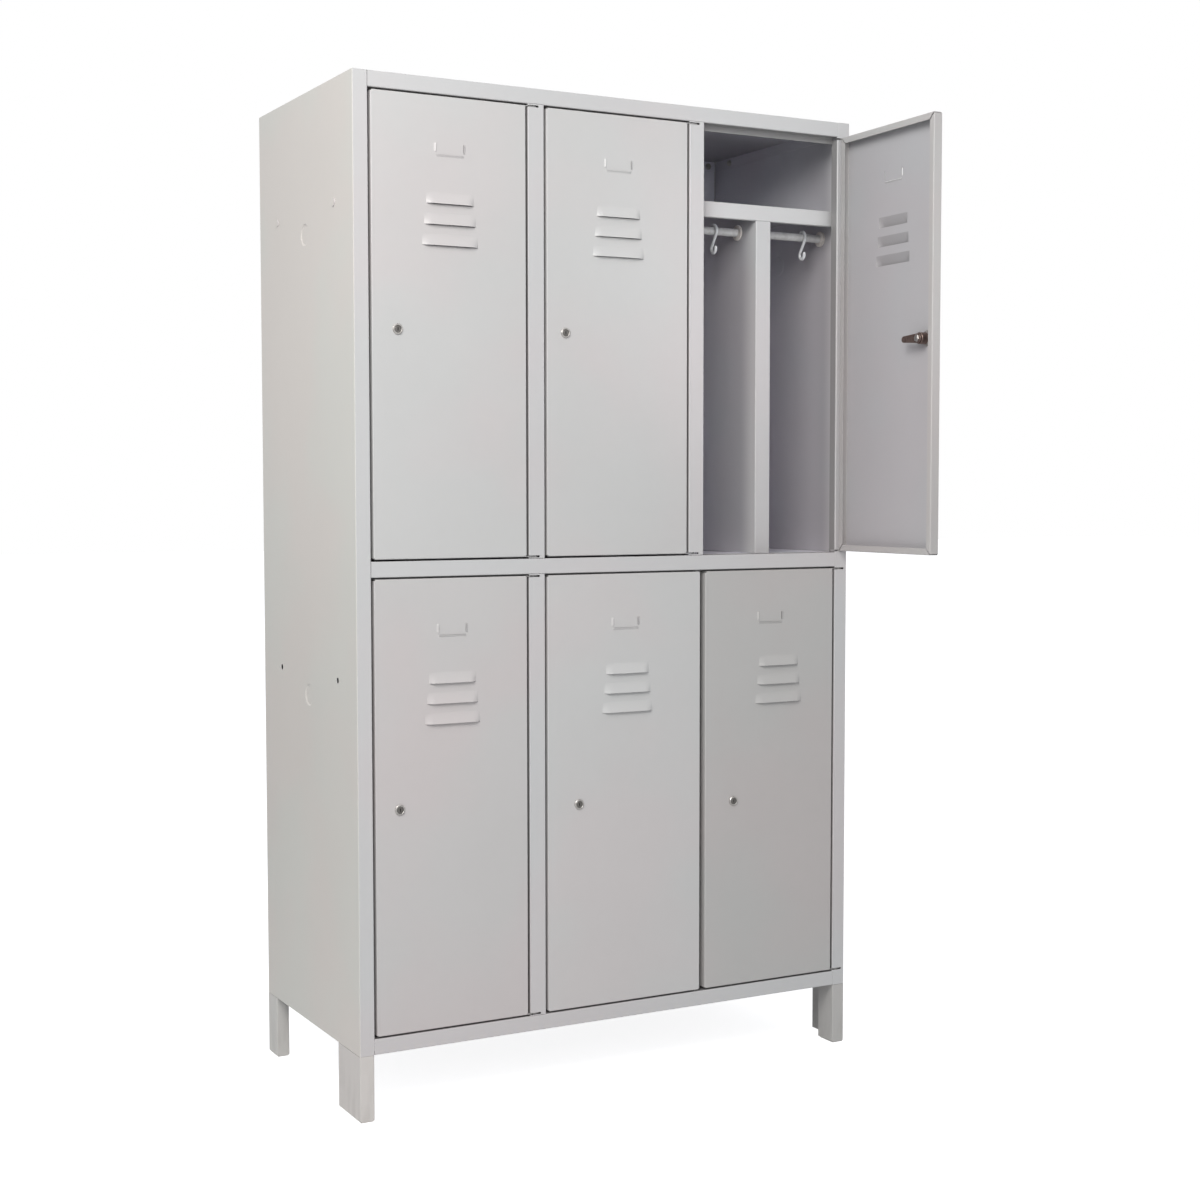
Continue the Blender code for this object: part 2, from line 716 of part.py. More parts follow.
def door(tier, column):
    """A folded pan with three louvres, a lanced card holder, a lock hole and pivot ears."""
    name = f"{tier}_{column}"
    left, right, pivot = door_span(tier, column)
    low, high = tier_floor[tier] + door_end_gap, tier_ceiling[tier] - door_end_gap
    hinge = place(name + "_hinge_axis", None, cabinet, (pivot, pivot_depth, 0))
    p = Panel(name + "_door", (left + half - pivot, door_setback + half - pivot_depth, low + half),
              (1, 0, 0), (0, 0, 1), (0, 1, 0), right - left - sheet, high - low - sheet)
    depth = door_thickness - sheet
    pan = [(0, depth), (door_lip, depth)]
    ear_reach, ear_depth = pivot - right + half, pivot_depth - door_setback - half
    overlaid = (tier, column) == OVERLAY_DOOR
    for side, at_end in (("low_v", True), ("high_v", False)):
        p.fold(side, pan, mitre=1, ear=None if overlaid else (ear_reach, ear_depth, at_end))
    p.fold("low_u", pan, mitre=1)
    p.fold("high_u", pan, mitre=1)

    middle = (right - left - sheet) / 2
    ceiling = tier_ceiling[tier] - low - half
    centre = middle + louvre_shift.get((tier, column), 0)
    for k, length in enumerate(louvre_lengths):
        v = ceiling - louvre_drop - k * louvre_pitch
        p.hood(centre, v, 0, length, louvre_height, louvre_reach, louvre_end)
    base = ceiling - card_drop - card_height
    tab = (card_tab, card_pocket, card_tab_end)
    p.hood(middle, base, math.pi, card_width - 2 * card_tab, *tab)
    for side in (-1, 1):
        u, v = middle + side * (card_width / 2 - card_tab), base + card_tab + card_side_length / 2
        p.hood(u, v, -side * math.pi / 2, card_side_length, *tab)
    lock_u = lock_from_edge[tier, column] - half
    lock_v = ceiling - lock_drop - lock_shift.get((tier, column), 0)
    p.round_hole(lock_u, lock_v, lock_barrel_radius + seat_gap)
    obj = p.build(PAINT, hinge)

    bm = bmesh.new()
    bore = pin_radius + pin_play
    for z in (low + half, high - half):
        ends = [(0, -overrun), (bore, -overrun), (bore, overrun), (0, overrun)]
        turned(bm, ends, (0, 0, z), (0, 0, 1), small_sides)
    combine(obj, bm, "DIFFERENCE")

    spot = (left + lock_from_edge[tier, column] - pivot, door_setback - pivot_depth, lock_v + low + half)
    lock(name, lock_depth(tier, column) - door_setback, spot, hinge)
    if (tier, column) in (OVERLAY_DOOR, DEEP_LOCK_DOOR):
        lock_cam(name, lock_depth(tier, column) - door_setback, long_cam_reach, spot, hinge)
    else:
        lock_cam(name, lock_depth(tier, column) - door_setback, cam_reach, spot, hinge)
    if (tier, column) == OPEN_DOOR:
        hinge.rotation_euler.z = turn


def lock(name, body_end, spot, hinge):
    """The lock's housing and its nut, clamped on the door sheet."""
    bm = bmesh.new()
    bore = plug_radius + plug_play
    front = -lock_face_height - seat_gap
    nut = sheet + seat_gap
    profile = [(bore, front), (lock_face_radius, front), (lock_face_radius, -seat_gap),
               (lock_barrel_radius, -seat_gap), (lock_barrel_radius, nut), (lock_nut_radius, nut),
               (lock_nut_radius, nut + lock_nut_height), (lock_body_radius, nut + lock_nut_height),
               (lock_body_radius, body_end), (bore, body_end)]
    turned(bm, profile, (0, 0, 0), (0, 1, 0), rod_sides)
    obj = finish(name + "_lock", bm, DARK_STEEL, hinge)
    obj.location = spot


def lock_cam(name, body_end, reach, spot, hinge):
    """The turning plug with its cam and nut. At rest the cam points to the hinge, unlocked."""
    bm = bmesh.new()
    far = reach - cam_tip_radius
    lean = math.asin((cam_hub_radius - cam_tip_radius) / far)
    side = math.pi / 2 - lean
    outline = circle(cam_tip_radius, cam_tip_sides, -side, side, (far, 0))
    outline += circle(cam_hub_radius, cam_hub_sides, side, 2 * math.pi - side)
    level = (body_end + cam_gap, body_end + cam_gap + cam_thickness)

    def to(p, q, along):
        return Vector((p, along, q))

    front = -lock_face_height - seat_gap + plug_recess
    stubs = ((plug_radius, front), (cam_nut_radius, level[1] + cam_nut_height))
    stubbed_plate(bm, to, outline, level, stubs, rod_sides)
    obj = finish(name + "_lock_cam", bm, DARK_STEEL, hinge)
    obj.location = spot


def hook(name, x, z):
    """An S hook that hangs on the rod: a wide upper bend, a straight shank and a lower bend."""
    upper = rod_radius + seat_gap + hook_wire_radius
    drop = hook_height - upper - hook_swing_radius - 2 * hook_wire_radius
    lean = math.asin((upper + hook_swing_radius) / drop)
    path = circle(upper, hook_bend_sides, math.radians(hook_bend_start), math.pi + lean)
    path += circle(hook_swing_radius, hook_swing_sides, lean, math.radians(hook_swing_end), (0, -drop))
    bm = bmesh.new()
    swept(bm, path, hook_wire_radius)
    obj = finish(name, bm, WHITE_PLASTIC, cabinet)
    obj.location = (x, rod_depth, z)


def hooks(tier, i):
    for use, share, (low, high) in zip(("clean", "dirty"), (clean_hook_share, dirty_hook_share),
                                       half_spaces(i)):
        hook(f"{tier}_{COLUMNS[i]}_{use}_hook", low + share * (high - low),
             tier_ceiling[tier] - join_hole_drop)


side_panel("left_side_panel", True)
side_panel("right_side_panel", False)
back_panel()
tray("top_panel", cabinet_height, PAINT, True)
tray("middle_shelf", middle_rail_top, PAINT, True)
tray("bottom_panel", bottom_rail_top, PAINT, False)
for tier in TIERS:
    for i in (0, 1):
        partition(tier, i)
for tier in TIERS:
    for i, column in enumerate(COLUMNS):
        hat_shelf(tier, i)
        clothes_divider(tier, i)
        door(tier, column)
        hooks(tier, i)
for tier in TIERS:
    for end in ("top", "bottom"):
        hinge_bracket(tier, end)
for end, is_front in (("front", True), ("rear", False)):
    leg(f"{end}_left_leg", True, is_front)
    leg(f"{end}_right_leg", False, is_front)
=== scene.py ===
import bpy
import bmesh
import json
import math
from mathutils import Matrix, Vector


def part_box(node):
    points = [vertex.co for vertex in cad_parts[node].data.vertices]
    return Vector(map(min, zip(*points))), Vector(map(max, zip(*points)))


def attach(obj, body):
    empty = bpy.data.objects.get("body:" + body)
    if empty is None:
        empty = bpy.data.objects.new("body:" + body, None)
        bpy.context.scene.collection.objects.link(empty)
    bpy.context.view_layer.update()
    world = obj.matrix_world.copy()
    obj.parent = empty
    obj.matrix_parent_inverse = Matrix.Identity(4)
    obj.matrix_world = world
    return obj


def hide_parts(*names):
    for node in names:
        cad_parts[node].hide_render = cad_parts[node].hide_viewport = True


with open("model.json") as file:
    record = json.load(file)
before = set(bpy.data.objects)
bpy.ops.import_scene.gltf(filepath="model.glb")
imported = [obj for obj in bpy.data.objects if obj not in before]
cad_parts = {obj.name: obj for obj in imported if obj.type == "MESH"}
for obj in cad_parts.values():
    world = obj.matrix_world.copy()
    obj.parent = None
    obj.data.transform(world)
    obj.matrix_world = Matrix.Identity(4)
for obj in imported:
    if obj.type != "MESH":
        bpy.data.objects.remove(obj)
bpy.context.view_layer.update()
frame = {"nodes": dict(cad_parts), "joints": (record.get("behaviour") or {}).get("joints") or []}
nodes = frame["nodes"]
joints = {joint["name"]: joint for joint in frame["joints"]}
tiers = ("upper", "lower")
columns = ("left", "middle", "right")
compartments = [(tier, column) for tier in tiers for column in columns]
print("frame loaded:", len(nodes), "nodes")

# small helpers for meshes and node trees
edgeDegrees = 35  # sharper folds than this stay sharp


def newObject(name, mesh):
    obj = bpy.data.objects.new(name, mesh)
    bpy.context.scene.collection.objects.link(obj)
    return obj


def meshObject(name, bm, *materials):
    mesh = bpy.data.meshes.new(name)
    bm.to_mesh(mesh)
    bm.free()
    for material in materials:
        mesh.materials.append(material)
    return newObject(name, mesh)


def applyModifiers(obj):
    # live modifiers become a plain mesh
    graph = bpy.context.evaluated_depsgraph_get()
    mesh = bpy.data.meshes.new_from_object(obj.evaluated_get(graph))
    obj.modifiers.clear()
    old = obj.data
    obj.data = mesh
    bpy.data.meshes.remove(old)
    mesh.name = obj.name
    return mesh


def bake(obj, place=None, smoothDegrees=edgeDegrees, weighted=True):
    # a plain mesh with its place in it; large flat faces keep their own normal if it is weighted
    mesh = applyModifiers(obj)
    if place is not None:
        mesh.transform(place)
    mesh.shade_smooth()
    mesh.set_sharp_from_angle(angle=math.radians(smoothDegrees))
    if weighted:
        obj.modifiers.new("weights", "WEIGHTED_NORMAL").keep_sharp = True
        applyModifiers(obj)
    return obj


def join(name, pieces):
    # several plain mesh objects become one
    bm = bmesh.new()
    materials = []
    for piece in pieces:
        start = len(bm.faces)
        bm.from_mesh(piece.data)
        bm.faces.ensure_lookup_table()
        slots = []
        for material in piece.data.materials:
            if material not in materials:
                materials.append(material)
            slots.append(materials.index(material))
        for face in bm.faces[start:]:
            face.material_index = slots[face.material_index]
        bpy.data.objects.remove(piece)
    obj = meshObject(name, bm, *materials)
    obj.data.set_sharp_from_angle(angle=math.radians(edgeDegrees))
    return obj


class Graph:
    # wires a node tree: plain values are set on a socket, other nodes' outputs are linked to it
    def __init__(self, tree):
        self.tree = tree
        if tree.bl_idname == "GeometryNodeTree" or not tree.nodes:
            self.entry = tree.nodes.new("NodeGroupInput")
            self.leave = tree.nodes.new("NodeGroupOutput")

    def takes(self, name, kind, default=None):
        socket = self.tree.interface.new_socket(name, in_out="INPUT", socket_type="NodeSocket" + kind)
        if default is not None:
            socket.default_value = default
        return self.entry.outputs[name]

    def numbers(self, *names):
        return [self.takes(name, "Float") for name in names]

    def gives(self, name, kind, value):
        self.tree.interface.new_socket(name, in_out="OUTPUT", socket_type="NodeSocket" + kind)
        self.feed(self.leave.inputs[name], value)

    def feed(self, socket, value):
        if isinstance(value, bpy.types.NodeSocket):
            self.tree.links.new(value, socket)
        else:
            socket.default_value = value

    def add(self, kind, inputs=None, **settings):
        node = self.tree.nodes.new(kind)
        for key, value in settings.items():
            setattr(node, key, value)
        for key, value in (inputs or {}).items():
            self.feed(node.inputs[key], value)
        return node

    def math(self, operation, *values):
        node = self.add("ShaderNodeMath", operation=operation)
        for socket, value in zip(node.inputs, values):
            self.feed(socket, value)
        return node.outputs[0]

    def plus(self, a, b):
        return self.math("ADD", a, b)

    def minus(self, a, b):
        return self.math("SUBTRACT", a, b)

    def times(self, a, b):
        return self.math("MULTIPLY", a, b)

    def span(self, value, low, high, toLow=0.0, toHigh=1.0, smooth=True):
        inputs = {"Value": value, "From Min": low, "From Max": high, "To Min": toLow, "To Max": toHigh}
        return self.add("ShaderNodeMapRange", inputs,
                        interpolation_type="SMOOTHSTEP" if smooth else "LINEAR").outputs[0]

    def mix(self, amount, a, b, blend="MIX"):
        node = self.add("ShaderNodeMix", data_type="RGBA", blend_type=blend)
        for socket, value in ((node.inputs[0], amount), (node.inputs[6], a), (node.inputs[7], b)):
            self.feed(socket, value)
        return node.outputs[2]

    def where(self):
        return self.add("ShaderNodeTexCoord").outputs["Object"]

    def noise(self, where, scale, detail, rough=0.5):
        return self.add("ShaderNodeTexNoise", {"Vector": where, "Scale": scale, "Detail": detail,
                                               "Roughness": rough}).outputs[0]

    def xyz(self, **parts):
        return self.add("ShaderNodeCombineXYZ", {key.upper(): part for key, part in parts.items()}).outputs[0]

    def surface(self, shader, group, values):
        # a shader group's colour, roughness and normal go to the shader
        node = self.add("ShaderNodeGroup", values, node_tree=group)
        for key, socket in (("Colour", "Base Color"), ("Roughness", "Roughness"), ("Normal", "Normal")):
            self.feed(shader.inputs[socket], node.outputs[key])

    def ends(self, geometry, finish):
        # the last steps of a geometry tree
        real = self.add("GeometryNodeRealizeInstances", {"Geometry": geometry}).outputs[0]
        coated = self.add("GeometryNodeSetMaterial", {"Geometry": real, "Material": finish})
        self.gives("Geometry", "Geometry", coated.outputs[0])
        return self


def newTree(name, kind="GeometryNodeTree"):
    return Graph(bpy.data.node_groups.new(name, kind))


def dress(obj, graph, values):
    # puts a geometry tree on an object with its named inputs set
    modifier = obj.modifiers.new(graph.tree.name, "NODES")
    modifier.node_group = graph.tree
    for item in graph.tree.interface.items_tree:
        if item.item_type == "SOCKET" and item.in_out == "INPUT" and item.name in values:
            modifier[item.identifier] = values[item.name]


def newMaterial(name):
    material = bpy.data.materials.new(name)
    material.use_nodes = True
    return material, Graph(material.node_tree), material.node_tree.nodes["Principled BSDF"]


def thicken(obj, sheet, **settings):
    wall = obj.modifiers.new("sheet", "SOLIDIFY")
    wall.thickness = sheet
    for key, value in settings.items():
        setattr(wall, key, value)


def pointObject(name, places, key, kind, values):
    # a cloud of points that carry one named attribute
    mesh = bpy.data.meshes.new(name)
    mesh.from_pydata(places, [], [])
    items = mesh.attributes.new(key, kind, "POINT").data
    for item, value in zip(items, values):
        setattr(item, "value" if kind == "FLOAT" else "vector", value)
    return newObject(name, mesh)


# camera, as the photograph was taken, in the frame's metres
camera = {"place": (-1.7236, -3.18605, 1.1265), "yaw": 28.577, "pitch": -3.373, "roll": -0.044,
          "focalPixels": 1883.9, "imagePixels": 1200, "sensor": 36}


def makeCamera(s):
    yaw, pitch, roll = (math.radians(s[key]) for key in ("yaw", "pitch", "roll"))
    ahead = Vector((math.sin(yaw) * math.cos(pitch), math.cos(yaw) * math.cos(pitch), math.sin(pitch)))
    right = Vector((math.cos(yaw), -math.sin(yaw), 0))
    up = right.cross(ahead)
    across = right * math.cos(roll) + up * math.sin(roll)
    upright = up * math.cos(roll) - right * math.sin(roll)
    data = bpy.data.cameras.new("photoCamera")
    data.sensor_width = s["sensor"]
    data.lens = s["sensor"] * s["focalPixels"] / s["imagePixels"]
    obj = newObject("photoCamera", data)
    turn = Matrix((across, upright, -ahead)).transposed().to_4x4()
    obj.matrix_world = Matrix.Translation(s["place"]) @ turn
    bpy.context.scene.camera = obj


makeCamera(camera)

# light: a white room, a large soft key from the upper left and a weak fill
light = {"roomColour": (0.93, 0.96, 1.0, 1), "roomStrength": 0.43,
         "floorColour": (0.86, 0.86, 0.86, 1), "floorRough": 0.9, "floorShine": 0.1, "floorGlow": 0.80,
         "floorSize": 60,
         "lamps": {"key": {"place": (-1.9, -2.1, 2.9), "aim": (-0.2, 0, 1.2), "size": 2.0, "watts": 80,
                           "colour": (1.0, 0.985, 0.96)},
                   "front": {"place": (-0.6, -4.6, 1.9), "aim": (0, 0, 1.0), "size": 2.6, "watts": 4,
                             "colour": (0.99, 0.99, 1.0)}},
         "beam": {"place": (0.40, -3.3, 1.60), "aim": (0.33, 0.1, 1.55), "angle": 10, "blend": 1.0,
                  "size": 0.35, "watts": 230, "colour": (0.97, 0.98, 1.0)}}


def addLamp(name, kind, s):
    data = bpy.data.lights.new(name, kind)
    data.energy = s["watts"]
    data.color = s["colour"]
    obj = newObject(name, data)
    obj.location = s["place"]
    obj.rotation_euler = (Vector(s["aim"]) - obj.location).to_track_quat("-Z", "Y").to_euler()
    return data


def makeLight(s):
    white = (1, 1, 1, 1)
    world = bpy.data.worlds.new("whiteRoom")
    bpy.context.scene.world = world
    world.use_nodes = True
    g = Graph(world.node_tree)
    back = world.node_tree.nodes["Background"]
    path = g.add("ShaderNodeLightPath")
    seen = g.math("MAXIMUM", path.outputs["Is Camera Ray"], path.outputs["Is Transmission Ray"])
    seen = g.math("MAXIMUM", seen, path.outputs["Is Glossy Ray"])
    g.feed(back.inputs["Color"], g.mix(seen, s["roomColour"], white))
    g.feed(back.inputs["Strength"], g.span(seen, 0, 1, s["roomStrength"], 1.0, smooth=False))
    for name, lamp in s["lamps"].items():
        data = addLamp(name, "AREA", lamp)
        data.shape = "DISK"
        data.size = lamp["size"]
    beam = s["beam"]
    data = addLamp("beam", "SPOT", beam)
    data.spot_size = math.radians(beam["angle"])
    data.spot_blend = beam["blend"]
    data.shadow_soft_size = beam["size"]

    bm = bmesh.new()
    bmesh.ops.create_grid(bm, x_segments=2, y_segments=2, size=s["floorSize"] / 2)
    material, g, shader = newMaterial("whiteFloor")
    for socket, value in (("Base Color", s["floorColour"]), ("Roughness", s["floorRough"]),
                          ("Specular IOR Level", s["floorShine"]), ("Emission Color", white)):
        shader.inputs[socket].default_value = value
    path = g.add("ShaderNodeLightPath")
    seen = g.math("MAXIMUM", path.outputs["Is Camera Ray"], path.outputs["Is Transmission Ray"])
    g.feed(shader.inputs["Emission Strength"], g.times(seen, s["floorGlow"]))
    floor = meshObject("floor", bm, material)


makeLight(light)
print("camera and light done")

# shader groups that several finishes share
# a noise is its scale, detail and roughness
powder = {"slow": (4.5, 3.0, 0.55), "slowWeight": 1.6, "quick": (42.0, 3.0, 0.6), "quickWeight": 0.7,
          "hue": (3.1, 2.0), "hueRange": (0.38, 0.62), "warm": (1.012, 0.988, 0.990, 1),
          "cool": (0.985, 1.006, 1.004, 1), "grain": (700.0, 2.0), "wavesToGrain": 2.5,
          "unevenGloss": 0.12, "peel": 0.00002}
grimeSet = {"stretch": (60, 60, 14), "noise": (1.0, 4.0), "range": (0.42, 0.72), "high": 0.12,
            "colour": (0.20, 0.18, 0.16, 1)}
turned = {"fine": (900.0, 3.0), "spots": (160.0, 4.0), "range": (0.45, 0.7), "tarnish": (0.10, 0.09, 0.08, 1),
          "duller": 0.4, "strength": 0.6, "deep": 0.00002}
# depths and facings for the painted light and shade inside the cabinet and in the gaps round the doors
insideDepth = {"start": 0.034, "end": 0.09, "deep": 0.30, "skin": 0.0005, "backSkin": 0.0018,
               "pressed": 0.004, "gapFront": 0.003, "gapRear": 0.0285, "facing": 0.3, "underFacing": 0.5}
mould = {"cloud": (90.0, 2.0), "darker": 0.86, "range": (0.35, 0.7), "glossRange": (0.3, 0.7),
         "gloss": (-0.05, 0.08), "strength": 0.4, "deep": 0.0001}


def powderCoatGroup(s):
    # fine orange peel, slow tone patches and faint changes of hue
    g = newTree("powderCoat", "ShaderNodeTree")
    colour = g.takes("Colour", "Color")
    patch, rough = g.numbers("Patch Amount", "Roughness")
    where = g.where()
    slow = g.minus(g.noise(where, *s["slow"]), 0.5)
    quick = g.noise(where, *s["quick"])
    swing = g.minus(quick, 0.5)
    tone = g.plus(g.times(slow, s["slowWeight"]), g.times(swing, s["quickWeight"]))
    tone = g.plus(1.0, g.times(tone, patch))
    hue = g.mix(g.span(g.noise(where, *s["hue"]), *s["hueRange"]), s["warm"], s["cool"])
    tinted = g.mix(1.0, colour, hue, blend="MULTIPLY")
    toned = g.add("ShaderNodeVectorMath", {0: tinted, "Scale": tone}, operation="SCALE")
    g.gives("Colour", "Color", toned.outputs[0])
    g.gives("Roughness", "Float", g.plus(rough, g.times(swing, s["unevenGloss"])))
    height = g.plus(g.times(quick, s["wavesToGrain"]), g.noise(where, *s["grain"]))
    bump = g.add("ShaderNodeBump", {"Height": height, "Strength": 1.0, "Distance": s["peel"]})
    g.gives("Normal", "Vector", bump.outputs[0])
    return g.tree


def insideGroup(s):
    # masks of where a point is: inside the cabinet, in the gaps round the doors, on a side or an underside;
    # paint() turns them into painted light and shade
    g = newTree("insideShade", "ShaderNodeTree")
    half, back, top, bottom = g.numbers("Half Width", "Back", "Top", "Bottom")
    start, end, depth = g.numbers("Start", "End", "Deep End")
    front, reveal = g.numbers("Gap Front", "Gap Rear")
    x, y, z = g.add("ShaderNodeSeparateXYZ", {"Vector": g.where()}).outputs
    facing = g.add("ShaderNodeSeparateXYZ", {"Vector": g.add("ShaderNodeNewGeometry").outputs["True Normal"]})
    inwards = g.math("LESS_THAN", g.times(facing.outputs[0], g.math("SIGN", x)), -s["facing"])
    inner = g.math("MAXIMUM", g.math("LESS_THAN", g.math("ABSOLUTE", x), half), inwards)
    inner = g.times(inner, g.math("LESS_THAN", y, back))
    inner = g.times(inner, g.math("LESS_THAN", z, top))
    inner = g.times(inner, g.math("GREATER_THAN", z, bottom))
    # Inside, Sideways, Under and Deep steer the painted light and shade inside, Gap the painted shade in the
    # door gaps, Outer Side the painted light on the outer sides
    g.gives("Inside", "Float", g.times(inner, g.span(y, start, end)))
    gap = g.times(g.math("GREATER_THAN", y, front), g.math("LESS_THAN", y, reveal))
    g.gives("Gap", "Float", g.times(inner, gap))
    sideways = g.math("ABSOLUTE", facing.outputs[0])
    g.gives("Sideways", "Float", sideways)
    g.gives("Outer Side", "Float", g.times(sideways, g.minus(1.0, inner)))
    g.gives("Under", "Float", g.math("LESS_THAN", facing.outputs[2], -s["underFacing"]))
    g.gives("Deep", "Float", g.span(y, start, depth))
    return g.tree


def scuffGroup(s):
    # grime that gathers near the floor, in soft upright streaks
    g = newTree("floorScuff", "ShaderNodeTree")
    colour = g.takes("Colour", "Color")
    amount = g.takes("Amount", "Float")
    where = g.where()
    z = g.add("ShaderNodeSeparateXYZ", {"Vector": where}).outputs[2]
    stretched = g.add("ShaderNodeMapping", {"Vector": where, "Scale": s["stretch"]}).outputs[0]
    low = g.math("MAXIMUM", g.minus(1.0, g.math("DIVIDE", z, s["high"])), 0.0)
    mask = g.times(low, g.span(g.noise(stretched, *s["noise"]), *s["range"]))
    g.gives("Colour", "Color", g.mix(g.times(mask, amount), colour, s["colour"]))
    return g.tree


def brushedGroup(s):
    # fine turning marks and dull spots on bare metal
    g = newTree("turnedMetal", "ShaderNodeTree")
    colour = g.takes("Colour", "Color")
    rough, dull = g.numbers("Roughness", "Dull Spots")
    where = g.where()
    mask = g.times(g.span(g.noise(where, *s["spots"]), *s["range"]), dull)
    g.gives("Colour", "Color", g.mix(mask, colour, s["tarnish"]))
    g.gives("Roughness", "Float", g.plus(rough, g.times(mask, s["duller"])))
    bump = g.add("ShaderNodeBump", {"Height": g.noise(where, *s["fine"]), "Strength": s["strength"],
                                    "Distance": s["deep"]})
    g.gives("Normal", "Vector", bump.outputs[0])
    return g.tree


powderCoat = powderCoatGroup(powder)
insideShade = insideGroup(insideDepth)
floorScuff = scuffGroup(grimeSet)
turnedMetal = brushedGroup(turned)

# paints and painted light and shade, colours as linear light
paintsAndShades = {
    # cabinet: outside is the paint; side is painted light, lighter and warmer on the outer side faces;
    # inside, wall, deepWall, ceiling and deepCeiling are painted light and shade on the compartments' backs,
    # walls and ceilings; gap is painted shade in the gaps round the doors
    "cabinet": {"outside": (0.595, 0.583, 0.587, 1), "side": (0.680, 0.655, 0.615, 1),
                "inside": (0.92, 0.91, 0.98, 1), "gap": (0.30, 0.29, 0.29, 1),
                "wall": (0.37, 0.36, 0.38, 1), "deepWall": (0.68, 0.67, 0.71, 1),
                "ceiling": (0.80, 0.79, 0.83, 1), "deepCeiling": (0.36, 0.355, 0.37, 1),
                "patch": 0.030, "rough": 0.42},
    "door": {"outside": (0.590, 0.577, 0.574, 1), "patch": 0.030, "rough": 0.40},
    # painted shade: the right column's doors are painted darker, as less light falls there; they are also a
    # little rougher
    "dullDoor": {"outside": (0.505, 0.488, 0.480, 1), "patch": 0.035, "rough": 0.46},
    "warmDoor": {"outside": (0.576, 0.551, 0.548, 1), "patch": 0.030, "rough": 0.42},
    # painted shade on the doors' inner faces
    "doorInner": {"outside": (0.485, 0.475, 0.490, 1), "patch": 0.035, "rough": 0.50},
    # painted shade on the inner faces of the louvre hoods and card tabs
    "hoodInner": {"outside": (0.395, 0.385, 0.395, 1), "patch": 0.035, "rough": 0.50},
    # divider: wall and deepWall are painted shade and light on its webs, darker near the front and lighter
    # deeper in
    "divider": {"outside": (0.565, 0.555, 0.560, 1), "wall": (0.34, 0.33, 0.35, 1),
                "deepWall": (0.93, 0.92, 0.97, 1)},
    "leg": {"outside": (0.650, 0.630, 0.605, 1), "patch": 0.035, "rough": 0.46},
    # painted shade: the right legs are painted darker, as less light falls there; they are also a little
    # rougher
    "dullLeg": {"outside": (0.520, 0.498, 0.485, 1), "patch": 0.035, "rough": 0.50}}


def insideEdges(s):
    # where the inside begins and ends, in the frame's metres
    low, high = cadFrame
    return {"Half Width": high.x - s["pressed"], "Back": high.y - s["backSkin"], "Top": high.z - s["skin"],
            "Bottom": low.z + s["skin"], "Start": low.y + s["start"], "End": low.y + s["end"],
            "Deep End": low.y + s["deep"], "Gap Front": low.y + s["gapFront"],
            "Gap Rear": low.y + s["gapRear"]}


def paint(key, inside=False, scuffs=0.0):
    # what a finish doesn't say is as on the cabinet
    s = {**paintsAndShades["cabinet"], **paintsAndShades[key]}
    material, g, shader = newMaterial(key + "Paint")
    colour = s["outside"]
    if inside:
        # painted light and shade: the outer side faces lighter and warmer, the door gaps darker, and the
        # compartments' backs, walls and ceilings lighter or darker by depth
        mask = g.add("ShaderNodeGroup", insideEdges(insideDepth), node_tree=insideShade).outputs
        outer = g.mix(mask["Outer Side"], s["outside"], s["side"])
        outer = g.mix(mask["Gap"], outer, s["gap"])
        wall = g.mix(mask["Deep"], s["wall"], s["deepWall"])
        ceiling = g.mix(mask["Deep"], s["ceiling"], s["deepCeiling"])
        inner = g.mix(mask["Sideways"], s["inside"], wall)
        inner = g.mix(mask["Under"], inner, ceiling)
        colour = g.mix(mask["Inside"], outer, inner)
    if scuffs:
        grime = g.add("ShaderNodeGroup", {"Colour": colour, "Amount": scuffs}, node_tree=floorScuff)
        colour = grime.outputs[0]
    g.surface(shader, powderCoat, {"Colour": colour, "Patch Amount": s["patch"], "Roughness": s["rough"]})
    return material


def metal(name, colour, rough, dull):
    material, g, shader = newMaterial(name)
    shader.inputs["Metallic"].default_value = 1.0
    g.surface(shader, turnedMetal, {"Colour": (*colour, 1), "Roughness": rough, "Dull Spots": dull})
    return material


def moulded(name, colour, rough):
    # plastic with a soft cloud of tone and a hint of mould texture
    material, g, shader = newMaterial(name)
    s = mould
    cloud = g.noise(g.where(), *s["cloud"])
    dark = (*(c * s["darker"] for c in colour), 1)
    g.feed(shader.inputs["Base Color"], g.mix(g.span(cloud, *s["range"]), (*colour, 1), dark))
    gloss = g.span(cloud, *s["glossRange"], *(rough + change for change in s["gloss"]))
    g.feed(shader.inputs["Roughness"], gloss)
    bump = g.add("ShaderNodeBump", {"Height": cloud, "Strength": s["strength"], "Distance": s["deep"]})
    g.feed(shader.inputs["Normal"], bump.outputs[0])
    return material


halfWidth = 0.525  # of the cabinet
low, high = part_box("left_side_panel")
cadFrame = (Vector((-halfWidth, low.y, low.z)), Vector((halfWidth, high.y, high.z)))
cabinetPaint = paint("cabinet", inside=True)
doorPaint = paint("door")
doorInnerShadePaint = paint("doorInner")
hoodInnerShadePaint = paint("hoodInner")
dividerPaint = paint("divider", inside=True)
warmDoorPaint = paint("warmDoor")
shadedDoorPaint = paint("dullDoor")
legPaint = paint("leg", scuffs=0.15)
shadedLegPaint = paint("dullLeg", scuffs=0.2)
zinc = metal("zincPlate", (0.62, 0.61, 0.58), 0.32, 0.25)
nickel = metal("nickelPlate", (0.52, 0.50, 0.48), 0.34, 0.20)
# dark steel: painted shade of the plug's recess
plugSteel = metal("plugSteel", (0.20, 0.19, 0.18), 0.38, 0.4)
brownSteel = metal("brownSteel", (0.24, 0.175, 0.155), 0.46, 0.4)
tubeCoat = moulded("tubeCoat", (0.70, 0.695, 0.69), 0.35)
